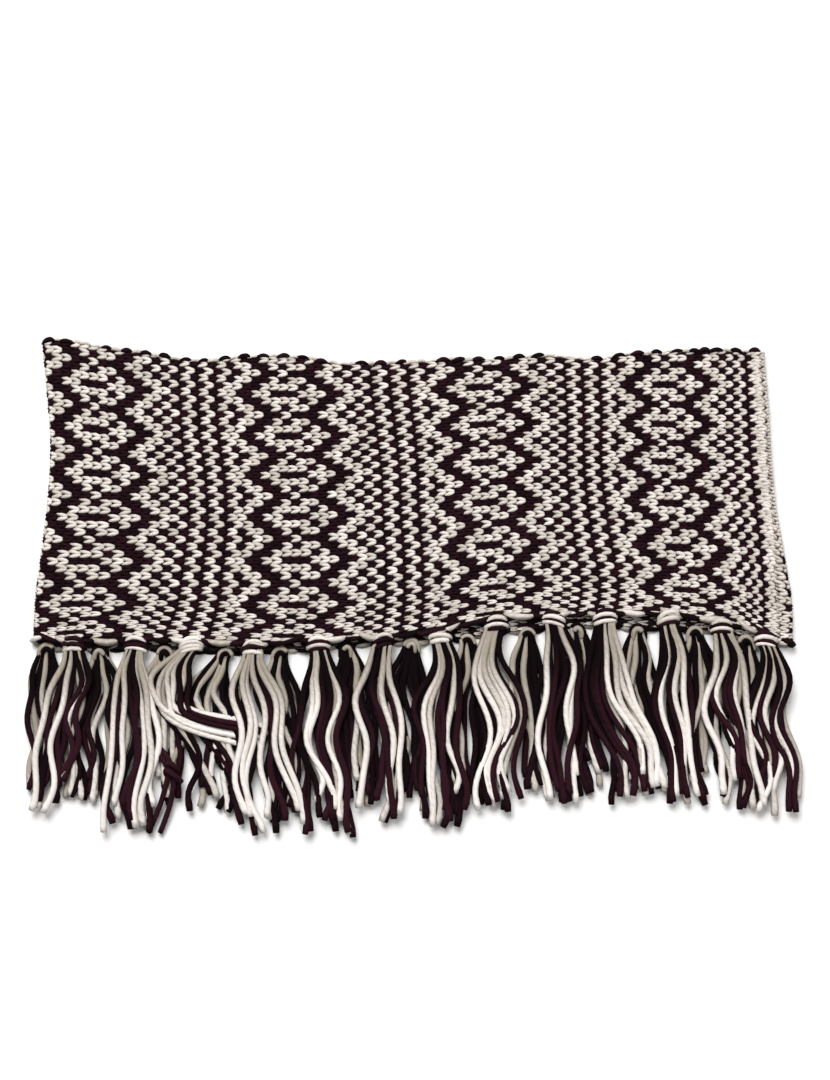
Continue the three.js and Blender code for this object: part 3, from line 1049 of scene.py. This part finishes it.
    def edge_stitches(self, look: EdgeLook, at_top: bool, rng: np.random.Generator) -> Tubes:
        """The long stitches of an edge, all round the strip.

        Each is a leaf, thick as the root of 1 - 0.84 s^2, that runs its reach to both sides of its middle.
        It bows out from the edge as 1 - s^2, slants, and dips at both ends. One yarn lies on top.

        Args:
            look: Sizes of the edge's stitches.
            at_top: True for the top edge, False for the hem.
            rng: Random source.

        Returns:
            The stitches, laid on the strip.
        """
        strip = self.strip
        level = np.array([self.upper_level if at_top else self.hem_level])
        start = float(strip.seam(level)[0]) - 1.0
        end = float(strip.far_end(level)[0]) + 1.0
        count = int((start - end) / look.pitch)
        outward = 1.0 if at_top else -1.0
        s = np.linspace(-1.0, 1.0, 11)[None, :]
        number = np.arange(count)
        middle = start - (number[:, None] + 0.5) * look.pitch + rng.normal(0, look.jitter, (count, 1))
        reach = look.pitch * rng.uniform(*look.reach, (count, 1))
        flat = np.clip(middle + reach * s, end, start)
        hem, top = strip.edges(flat, level + 0 * flat)
        bow = rng.uniform(*look.bow, (count, 1)) * (1 - s**2)
        slant = rng.normal(look.slant, look.slant_spread, (count, 1)) * s
        across = (top if at_top else hem) + outward * (bow + slant - look.set_in)
        yarn = (number + (rng.random(count) < look.odd_share)) % 2
        above = look.lift * (yarn == look.on_top.value)[:, None]
        off = look.off + above + 0.35 * s - look.dip * np.abs(s) ** 3 + rng.normal(0, 0.15, (count, 1))
        path = np.stack([flat, across, off], axis=-1)
        thick = rng.uniform(*look.radius, (count, 1)) * np.sqrt(1 - 0.84 * s**2)
        # Painted shade: each stitch darkens towards both ends, where it dips under the cloth.
        tone = rng.uniform(0.0, 0.45, (count, 1)) - 0.4 * s**4
        tubes = Tubes.along(path, thick, thick, 7, yarn, tone)
        tubes.rings = strip.lay(tubes.rings)
        return tubes


@dataclass(frozen=True)
class TasselShape:
    """One tassel, with the path of its solid and the yarns of its ends.

    x is the head, tip the middle of the ends, reach their lowest y, spread the half width there, sway
    the side sweep (left first) and turns its waves. upper and lower name the ends from left to right in
    the two layers of a tassel, and bars the strands of its head from the top down. curl carries the
    upper ends sideways, where they pass under the next tassel.
    """

    x: float
    tip: float
    reach: float
    spread: float
    sway: float
    turns: float
    upper: str
    lower: str
    bars: str
    curl: float = 0.0


FRONT_TASSELS = (
    TasselShape(-287, -307, -183, 16, -3, 1.5, "CBCBBCB", "BCBBCB", "BBC"),
    TasselShape(-234, -239, -204, 18, 4, 1.4, "CBCBBCCC", "BCBCBC", "CBBC"),
    TasselShape(-187, -178, -168, 16, 24, 0.75, "CCCCBCB", "BBCBBB", "CCCC", 36),
    TasselShape(-135, -124, -200, 20, 2, 1.5, "CBCCCBCC", "BCBBBB", "CBC"),
    TasselShape(-79.5, -70, -202, 18, -4, 1.3, "BCCBBCB", "BBBBCB", "CBCB"),
    TasselShape(-25, -24, -190, 16, 5, 1, "CBBBCBC", "BBCBCB", "CBB"),
    TasselShape(23.5, 24, -194, 16, -5, 1.4, "BCCBBCB", "BBCBBB", "BCC"),
    TasselShape(71, 74, -184, 14, 7, 1.4, "CCCCCBB", "BCBBBC", "CBCB"),
    TasselShape(119.5, 127, -175, 16, -6, 1, "CBBBCCB", "BCBBBB", "BCBC"),
    TasselShape(163, 186, -180, 18, 3, 1, "BBBBCBCCC", "BBCBCB", "BCBC", 12),
    TasselShape(216.5, 232, -175, 16, -3, 1.2, "BCBCCB", "BBBCBB", "CCB"),
    TasselShape(261.5, 275, -178, 16, -4, 1.4, "CBCBBCC", "BCBBCB", "CBCB"),
    TasselShape(299, 310, -183, 15, -6, 1.6, "BCBCBCB", "BBCBBC", "BCBC"),
)

BACK_TASSELS = (
    TasselShape(-310, -308, -150, 12, 2, 1, "BBCBB", "CBBC", "CB"),
    TasselShape(-265.5, -268, -150, 14, -3, 1.2, "CBBCBC", "BCBC", "BC"),
    TasselShape(-210, -208, -150, 14, 3, 1.3, "CCCCBB", "BCBC", "CB"),
    TasselShape(-159, -172, -158, 14, 14, 0.8, "BBCCCB", "CBBB", "CB"),
    TasselShape(-112, -107, -164, 14, 3, 1.2, "CBBCBB", "BCBC", "CB"),
    TasselShape(-55.5, -54, -156, 14, -3, 1.3, "BBBBCB", "CBBC", "BC"),
    TasselShape(-1, -2, -156, 14, 3, 1, "BBBBBB", "CBCB", "CC"),
    TasselShape(46.5, 47, -150, 13, -3, 1.2, "CBCBBB", "BCBB", "CB"),
    TasselShape(97.5, 103, -141, 13, 2, 1, "CBCBBB", "CBBC", "CB"),
    TasselShape(140, 149, -141, 13, -2, 1.2, "CBBCBB", "BCBC", "BC"),
    TasselShape(191, 197, -141, 14, 3, 1, "BCCBBC", "BCBB", "BC"),
    TasselShape(239.5, 247, -141, 13, -2, 1.2, "CBBCBB", "BCCB", "CB"),
    TasselShape(283, 287, -145, 12, 2, 1.3, "BCBBCB", "CBBC", "CB"),
)


@dataclass(frozen=True)
class Knot:
    """Two strands of a front tassel that have strayed over its neighbour, tied by a third."""

    tassel: int = 2
    strand: tuple[tuple[float, float, float], ...] = (
        (-229, -117, 7),
        (-218, -131, 7.5),
        (-208, -144, 11),
        (-204, -155, 10.5),
        (-209, -180, 6.5),
        (-219, -206, 3.3),
    )
    tie: tuple[tuple[float, float, float], ...] = (
        (-209, -148, 9),
        (-205, -146, 14.5),
        (-199, -150, 13.5),
        (-200, -155, 8),
        (-207, -157, 9),
        (-208, -152, 14.5),
        (-201, -156, 15.2),
        (-195, -162, 11),
    )
    apart: float = 5.4
    tied_at: float = 0.52
    tied_width: float = 0.1
    splay: float = 0.8
    radius: float = 2.4
    tone: float = 0.8
    stations: int = 28
    sides: int = 7

    def route(self, points: tuple[tuple[float, float, float], ...]) -> Array:
        """Smooth curve through points at equal shares of the way."""
        along = tuple(np.linspace(0.0, 1.0, len(points)))
        at = np.linspace(0.0, 1.0, self.stations)
        return np.stack([Column(along, column)(at) for column in zip(*points)], axis=-1)

    def tubes(self) -> Tubes:
        """The strands and their tie.

        The two strands lie to the left and right of their route, half the width apart. That share
        drops to half at the tie as a bell curve, and grows past it.

        Returns:
            The tubes, all burgundy.
        """
        at = np.linspace(0.0, 1.0, self.stations)
        bell = np.exp(-(((at - self.tied_at) / self.tied_width) ** 2))
        share = 1.0 - 0.5 * bell + self.splay * smooth((at - self.tied_at) / 0.48)
        aside = np.stack([share * self.apart / 2, 0 * at, 0 * at], axis=-1)
        middle = self.route(self.strand)
        path = np.stack([middle - aside, middle + aside, self.route(self.tie)])
        radius = np.full(path.shape[:2], self.radius)
        yarn = np.full(len(path), Yarn.BURGUNDY.value)
        return Tubes.along(path, radius, radius, self.sides, yarn, np.full(radius.shape, self.tone))


@dataclass(frozen=True)
class Fringe:
    """One row of tassels: lark's heads over the hem of a layer, and their loose ends.

    seat is how far a head sits under its hem, half_tall and head_half its half height and half width,
    and head_low and head_high its heights off the floor. beds are the heights of the lower and upper
    ends, extra_reach how far they go past the tassel's reach, and held the shares of the bed's height
    that they keep at their middle and their tip. They leave the head root_spread wide to each side and
    have opened within the share open_by. A nested head is arches one in another. Pairs of numbers are
    the least and the most of a random draw.
    """

    row: str
    shapes: tuple[TasselShape, ...]
    edge: Column
    half_tall: float
    head_half: float
    head_low: float
    head_high: float
    beds: tuple[float, float]
    extra_reach: float
    nested: bool
    tones: tuple[float, float]
    root_spread: float
    open_by: float
    held: tuple[float, float]
    knot: Knot | None = None
    seat: float = 0.4
    stations: int = 26
    sides: int = 7
    yarn_radius: float = 2.7
    flatness: float = 0.92
    over_floor: float = 0.25
    over_hem: float = 2.4
    lean_power: float = 1.3
    sway_fade: float = 0.4
    wave_turns: tuple[float, float] = (1.6, 2.3)
    wave_size: tuple[float, float] = (1.8, 3.2)
    kink_turns: tuple[float, float] = (1.4, 2.6)
    kink_size: tuple[float, float] = (0.3, 1.7)
    loose: float = 3.0
    stray_share: float = 0.13
    stray_reach: float = 9.0
    stray_lift: float = 3.0
    hook: float = 2.6
    full_curl: float = 36.0
    curl_lift: float = 0.3
    under_neighbour: float = 6.2
    shorter_upper: tuple[float, float] = (-6.0, 24.0)
    shorter_lower: tuple[float, float] = (-8.0, 12.0)
    # Painted shade at the roots and in the lower layer, and painted light towards the tips.
    root_shade: float = 0.78
    tip_light: float = 0.62
    lower_shade: float = 0.8
    bar_radius: float = 2.15
    bar_stations: int = 15
    half_turn: float = 1.85
    bulge: float = 3.4
    tuck: float = 2.6

    def head_top(self, shape: TasselShape) -> float:
        """Highest y of a head: under the lowest hem that it spans."""
        spans = shape.x + np.array([-1.0, 0.0, 1.0]) * self.head_half
        return float(np.min(self.edge(spans))) - self.seat

    def heights(
        self,
        shape: TasselShape,
        layer: int,
        along: Array,
        ripple: Array,
        stray: Array,
        rng: np.random.Generator,
    ) -> Array:
        """How high the ends lie.

        They leave the head over and under each other in turn, settle on their bed and sink towards the
        floor by the shares held. A stray is lifted over the others, and what curls passes under the
        neighbouring tassel.

        Args:
            shape: The tassel.
            layer: 0 for the lower layer and 1 for the upper.
            along: Shares of the length.
            ripple: Each end's own kink there, from -1 to 1.
            stray: -1 or 1 for an end that strays, else 0.
            rng: Random source.

        Returns:
            Heights of the ends' middle lines.
        """
        bed = self.beds[layer]
        low = self.yarn_radius + self.over_floor
        middle, tip = self.held
        by_turns = np.where(np.arange(len(ripple)) % 2 == 0, 1.0, -1.0)[:, None]
        lift = 1.4 + 0.9 * by_turns + rng.uniform(-0.5, 0.5, (len(ripple), 1))
        lift = lift * (0.8 + 0.2 * ripple)
        lift = lift + self.stray_lift * np.abs(stray) * smooth((along - 0.35) / 0.2)
        weave = 1.3 * by_turns * smooth(along * 6 - 0.3)
        root = (self.head_low + self.head_high) / 2 + (layer - 0.7) * 2.0 + weave
        z = mix(root, bed + lift, smooth(along * 3.2))
        z = mix(z, low + middle * (bed - low) + 0.8 * lift, smooth((along - 0.45) / 0.4))
        tucked = min(shape.curl / self.full_curl, 1.0) * layer * smooth((along - 0.62) / 0.2)
        z = mix(z, self.under_neighbour + 0.2 * lift, tucked)
        z = mix(z, low + tip * (bed - low) + 0.5 * lift, (1 - tucked) * smooth((along - 0.82) / 0.18))
        return np.maximum(z, low)

    def ends(self, shape: TasselShape, letters: str, layer: int, rng: np.random.Generator) -> Tubes:
        """The loose ends of one layer of a tassel.

        The middle of the tassel leans to its tip as the share of the length to a power, and sways on a
        sine. Each end keeps its place across as the tassel opens, waves with its neighbours and kinks a
        little on its own, because the yarn has been wound. Its tip hooks aside and is cut with a slight
        flare. A few stray over the others. A curl carries the upper ends sideways past the middle.

        Args:
            shape: The tassel.
            letters: Yarns of the ends, left to right.
            layer: 0 for the lower layer and 1 for the upper.
            rng: Random source.

        Returns:
            The ends as tubes.
        """
        yarns = np.array([yarn.value for yarn in Yarn.row(letters)])
        count = len(yarns)
        start = self.head_top(shape) + self.over_hem - self.half_tall * (0.1 if self.nested else 0.85)
        along = np.linspace(0.0, 1.0, self.stations)[None, :]
        across = np.linspace(-1.0, 1.0, count)[:, None] * (1.0 if layer else 0.95)
        across = across + rng.normal(0, 0.06, (count, 1))
        turned = shape.curl / self.full_curl * layer * smooth((along - 0.3) / 0.7)
        spread = mix(self.root_spread, shape.spread, smooth(along / self.open_by))
        lean = (shape.tip - shape.x) * along**self.lean_power
        sway = -shape.sway * np.sin(2 * np.pi * shape.turns * along) * (1 - self.sway_fade * along)
        wave_turns = rng.uniform(*self.wave_turns)
        wave_size = rng.uniform(*self.wave_size)
        wave = wave_size * np.sin(2 * np.pi * wave_turns * along + rng.uniform(0, 6) + 1.2 * across)
        kink_phase = rng.uniform(0, 2 * np.pi, (count, 1))
        kink_turns = rng.uniform(*self.kink_turns, (count, 1))
        ripple = np.sin(2 * np.pi * kink_turns * along + kink_phase)
        kink = rng.uniform(*self.kink_size, (count, 1)) * ripple
        kept = across * shape.spread
        tips = np.sort(kept + rng.normal(0, self.loose, (count, 1)), axis=0) - kept
        stray_share = 0.0 if shape.curl else self.stray_share
        stray = (rng.random((count, 1)) < stray_share) * rng.choice([-1.0, 1.0], (count, 1))
        x = shape.x + lean + sway + across * spread * (1 - 0.6 * turned) + tips * smooth(along * 1.1)
        x = x + (wave + kink) * smooth(along * 3.5) + shape.curl * layer * smooth((along - 0.42) / 0.5)
        x = x + stray * self.stray_reach * smooth((along - 0.5) / 0.5)
        x = x + rng.normal(0, self.hook, (count, 1)) * smooth((along - 0.84) / 0.16)
        shorter = self.shorter_upper if layer and not shape.curl else self.shorter_lower
        reach = shape.reach - self.extra_reach + rng.uniform(*shorter, (count, 1))
        y = mix(start, reach, along * (1 - self.curl_lift * turned)) + 0.6 * across * spread * turned
        z = self.heights(shape, layer, along, ripple, stray, rng)
        neck = 1 - 0.3 * smooth(1 - along * 5)
        cut = 1 + 0.2 * smooth((along - 0.9) / 0.07) - 0.16 * smooth((along - 0.985) / 0.015)
        radius = self.yarn_radius * rng.uniform(0.92, 1.08, (count, 1)) * neck * cut
        # Painted light and shade: a random tone, darkened at the root by the head, lightened towards the tip
        # and darkened in the lower layer.
        tone = rng.uniform(*self.tones, (count, 1)) - self.root_shade * smooth(1 - along * 2.4)
        tone = tone + self.tip_light * smooth(along)
        tone = tone + (layer - 1) * (self.lower_shade - 0.3 * smooth(along * 2 - 1))
        path = np.stack([x, y, z], axis=-1)
        return Tubes.along(path, radius, radius * self.flatness, self.sides, yarns, tone)

    def head(self, shape: TasselShape, rng: np.random.Generator) -> Tubes:
        """The bars of the lark's head.

        On a stacked head each bar runs round half an egg, as x = half sin(turn), z = depth cos(turn),
        with both smaller on the first and the last bar, and y rises as cos(turn). On a nested one the
        bars are arches one in another, x = half sin(turn), y = rise cos(turn), that dip at their feet,
        each turned a little to a random side. Either kind tilts a little.

        Args:
            shape: The tassel.
            rng: Random source.

        Returns:
            The bars as tubes.
        """
        yarns = np.array([yarn.value for yarn in Yarn.row(shape.bars)])
        count = len(yarns)
        turn = np.linspace(-self.half_turn, self.half_turn, self.bar_stations)[None, :]
        middle = self.head_top(shape) + self.over_hem - self.half_tall
        centre = (self.head_high + self.head_low) / 2
        depth = (self.head_high - self.head_low) / 2 - self.bar_radius
        uneven = rng.normal(0, 0.35, (count, 1))
        if self.nested:
            turn = turn * 0.84 + rng.choice([-1.0, 1.0], (count, 1)) * rng.uniform(0.3, 0.8, (count, 1))
            inward = np.arange(count)[:, None] * self.bar_radius * 1.3
            half = self.head_half * 0.82 - inward + uneven
            rise = self.half_tall * 1.9 - inward * 1.1
            y = middle + self.tuck - self.half_tall * 0.9 + rise * np.cos(turn)
            z = centre + depth * (0.1 + 0.8 * np.cos(turn)) + 0.2 + 0.7 * inward
        else:
            row = np.linspace(0.72, -0.72, count)[:, None]
            half = self.head_half * np.sqrt(1 - 0.5 * row**2) + uneven
            gather = 0.8 + 0.42 * np.cos(turn)
            y = middle + self.half_tall * row * gather + (self.bulge + uneven) * np.cos(turn)
            z = centre + depth * np.sqrt(1 - 0.5 * row**2) * np.cos(turn)
        x = shape.x + half * np.sin(turn)
        y = y + (rng.normal(0, 0.12) + rng.normal(0, 0.05, (count, 1))) * (x - shape.x)
        from_middle = turn / self.half_turn
        radius = self.bar_radius * rng.uniform(0.85, 1.15, (count, 1)) * (1 - 0.25 * from_middle**4)
        # Painted light and shade: front heads are set lighter, nested back heads darker, and each bar
        # darkens towards its ends, where it turns under.
        head_light_and_shade = -0.15 if self.nested else 0.2
        tone = rng.uniform(*self.tones, (count, 1)) + head_light_and_shade - 0.5 * from_middle**2
        return Tubes.along(np.stack([x, y, z], axis=-1), radius, radius, self.sides, yarns, tone)

    def build(self, materials: list[bpy.types.Material]) -> None:
        """Make each tassel of the row as one piece that stands for its node."""
        for order, shape in enumerate(self.shapes, start=1):
            rng = np.random.default_rng(1000 + 31 * order + len(self.row))
            node = f"{self.row}_{order:02d}"
            mesh = YarnMesh(f"{node}_yarn")
            mesh.add(self.ends(shape, shape.lower, 0, rng))
            mesh.add(self.ends(shape, shape.upper, 1, rng))
            mesh.add(self.head(shape, rng))
            if self.knot and order == self.knot.tassel:
                mesh.add(self.knot.tubes())
            piece = mesh.make(materials)
            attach(piece, BODY)
            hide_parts(node)


@dataclass(frozen=True)
class Cloth:
    """The knitted strip itself: its inner sheet with every stitch on it, in pieces of one zone each."""

    stitching: Stitching = field(default_factory=Stitching)
    sheet_depth: float = 3.0
    sheet_thickness: float = 1.0
    sheet_along: int = 240
    sheet_across: int = 24
    edge_inset: float = 0.6
    end_inset: float = 0.6
    levels: tuple[float, float] = (-44.0, 198.0)
    seed: int = 7
    front_detail: tuple[int, int] = (6, 6)
    back_detail: tuple[int, int] = (5, 5)
    front_cuts: tuple[float, ...] = (-165.0, 5.0, 155.0)
    back_cuts: tuple[float, ...] = (0.0,)
    cut_level: float = 80.0

    def sheet(self, finish: bpy.types.Material) -> bpy.types.Object:
        """The inner sheet: a grid over the whole strip, set in from its outer face and given a thickness."""
        strip = self.stitching.strip
        share = np.linspace(0.0, 1.0, self.sheet_along)[:, None]
        rise = np.linspace(0.0, 1.0, self.sheet_across)[None, :]
        level = mix(*self.levels, rise) + 0 * share
        flat = mix(strip.seam(level) - self.end_inset, strip.far_end(level) + self.end_inset, share)
        hem, top = strip.edges(flat, level)
        across = mix(hem + self.edge_inset, top - self.edge_inset, rise)
        points = np.stack([flat, across, np.full(flat.shape, -self.sheet_depth)], axis=-1)
        places = strip.lay(points) * MM
        numbers = np.arange(flat.size).reshape(flat.shape)
        corners = [numbers[:-1, :-1], numbers[:-1, 1:], numbers[1:, 1:], numbers[1:, :-1]]
        quads = np.stack(corners, axis=-1).reshape(-1, 4)
        mesh = bpy.data.meshes.new("knitted_strip")
        mesh.from_pydata(places.reshape(-1, 3), [], quads.tolist())
        mesh.materials.append(finish)
        mesh.polygons.foreach_set("use_smooth", np.ones(len(quads), dtype=bool))
        made = bpy.data.objects.new("knitted_strip", mesh)
        bpy.context.collection.objects.link(made)
        thick = made.modifiers.new("thickness", "SOLIDIFY")
        thick.thickness = self.sheet_thickness * MM
        thick.offset = 0.0
        return made

    def zones(self) -> dict[str, Tubes]:
        """The stitches of each zone of the strip, as tubes."""
        stitching = self.stitching
        rng = np.random.default_rng(self.seed)
        front = stitching.legs(stitching.front_places(), *self.front_detail, rng)
        back = stitching.legs(stitching.back_places(), *self.back_detail, rng)
        named: dict[str, Tubes] = {}
        for layer, legs, cuts in (("front", front, self.front_cuts), ("back", back, self.back_cuts)):
            place = legs.rings[:, legs.rings.shape[1] // 2].mean(axis=1)[:, 0]
            zone = np.digitize(place, cuts)
            for number in range(len(cuts) + 1):
                named[f"{layer}_stitches_{number + 1}"] = legs.keep(zone == number)
        named["top_edge_stitches"] = stitching.edge_stitches(TOP_EDGE, True, rng)
        named["hem_edge_stitches"] = stitching.edge_stitches(HEM_EDGE, False, rng)
        named["seam_stitches"] = stitching.seam_stitches(rng)
        return named

    def build(self, yarns: list[bpy.types.Material], inside: bpy.types.Material) -> None:
        # The inner sheet takes the inside finish, painted dark as the shade between the stitches.
        sheet = self.sheet(inside)
        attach(sheet, BODY)
        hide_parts("front_layer", "back_layer")
        for name, tubes in self.zones().items():
            mesh = YarnMesh(name)
            mesh.add(tubes)
            piece = mesh.make(yarns)
            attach(piece, BODY)
        strip = self.stitching.strip
        middle = np.array([self.cut_level])
        length = float((strip.seam(middle) - strip.far_end(middle))[0])


@dataclass(frozen=True)
class Lamp:
    """A square soft light that faces the scarf's middle: its place and size in metres, power in watts."""

    name: str
    place: tuple[float, float, float]
    size: float
    power: float

    def build(self) -> None:
        """Add the light, turned to face the middle."""
        data = bpy.data.lights.new(self.name, "AREA")
        data.size = self.size
        data.energy = self.power
        made = bpy.data.objects.new(self.name, data)
        made.location = self.place
        x, y, z = self.place
        made.rotation_euler = (math.atan2(math.hypot(x, y), z), 0.0, math.atan2(x, -y))
        bpy.context.collection.objects.link(made)


@dataclass(frozen=True)
class Studio:
    """Camera, light and floor: seen from straight above on a plain white ground."""

    scale: float = 0.85 * MM
    view_width: int = 830
    view_height: int = 1080
    origin_pixel: tuple[float, float] = (412.5, 590.0)
    distance: float = 1.9
    sensor: float = 36.0
    floor_half: float = 30.0
    floor_height: float = -0.0002
    sky_power: float = 0.14
    lamps: tuple[Lamp, ...] = (
        Lamp("key", (-0.7, 2.2, 2.6), 2.3, 186.0),
        Lamp("fill", (0.9, -0.3, 1.5), 1.4, 9.0),
    )

    def camera(self) -> None:
        """Stand the camera over the middle of the photograph, as far off as its lens needs."""
        data = bpy.data.cameras.new("camera")
        data.sensor_width = self.sensor
        data.lens = self.sensor * self.distance / (self.view_height * self.scale)
        made = bpy.data.objects.new("camera", data)
        x = (self.view_width / 2 - self.origin_pixel[0]) * self.scale
        y = (self.origin_pixel[1] - self.view_height / 2) * self.scale
        made.location = (x, y, self.distance)
        bpy.context.collection.objects.link(made)
        bpy.context.scene.camera = made

    def floor(self) -> None:
        """A wide plain floor, just under the scarf."""
        mesh = bpy.data.meshes.new("floor")
        signs = ((-1, -1), (1, -1), (1, 1), (-1, 1))
        corners = [(x * self.floor_half, y * self.floor_half, self.floor_height) for x, y in signs]
        mesh.from_pydata(corners, [], [(0, 1, 2, 3)])
        shader = Shader("floor_white")
        place = shader.node("ShaderNodeTexCoord", {}, {}, "Object")
        grain = shader.noise(40.0, 2.0, place)
        tone = shader.blend(grain, (0.93, 0.925, 0.915, 1.0), (0.95, 0.945, 0.935, 1.0))
        mesh.materials.append(shader.finish({"Base Color": tone, "Roughness": 0.9}))
        made = bpy.data.objects.new("floor", mesh)
        bpy.context.collection.objects.link(made)

    def build(self) -> None:
        """Set the camera, the lights and the floor."""
        self.camera()
        for lamp in self.lamps:
            lamp.build()
        world = bpy.data.worlds.new("sky")
        world.use_nodes = True
        background = world.node_tree.nodes["Background"]
        background.inputs[0].default_value = (1.0, 1.0, 1.0, 1.0)
        background.inputs[1].default_value = self.sky_power
        bpy.context.scene.world = world
        bpy.context.scene.view_settings.view_transform = "Standard"
        self.floor()


def main() -> None:
    """Dress the scarf and set it in its studio."""
    logging.basicConfig(level=logging.INFO)
    yarns = [BURGUNDY.material(), CREAM.material()]
    cloth = Cloth()
    cloth.build(yarns, INSIDE_SHADE.material())
    front = Fringe(
        row="front_tassel",
        shapes=FRONT_TASSELS,
        edge=cloth.stitching.strip.hem,
        half_tall=5.2,
        head_half=9.0,
        head_low=5.5,
        head_high=13.4,
        beds=(7.6, 11.2),
        extra_reach=0.0,
        nested=False,
        tones=(0.05, 0.45),
        root_spread=6.4,
        open_by=0.36,
        held=(0.8, 0.5),
        knot=Knot(),
    )
    back = Fringe(
        row="back_tassel",
        shapes=BACK_TASSELS,
        edge=cloth.stitching.strip.back_hem,
        half_tall=4.8,
        head_half=8.0,
        head_low=0.5,
        head_high=7.6,
        beds=(2.7, 5.8),
        extra_reach=26.0,
        nested=True,
        # Painted shade: the back row's tones are set low, as it lies under the front.
        tones=(-0.4, 0.05),
        root_spread=4.6,
        open_by=0.24,
        held=(0.6, 0.35),
    )
    for row in (front, back):
        row.build(yarns)
        LOG.info("%s row made", row.row)
    Studio().build()


if __name__ == "__main__":
    main()
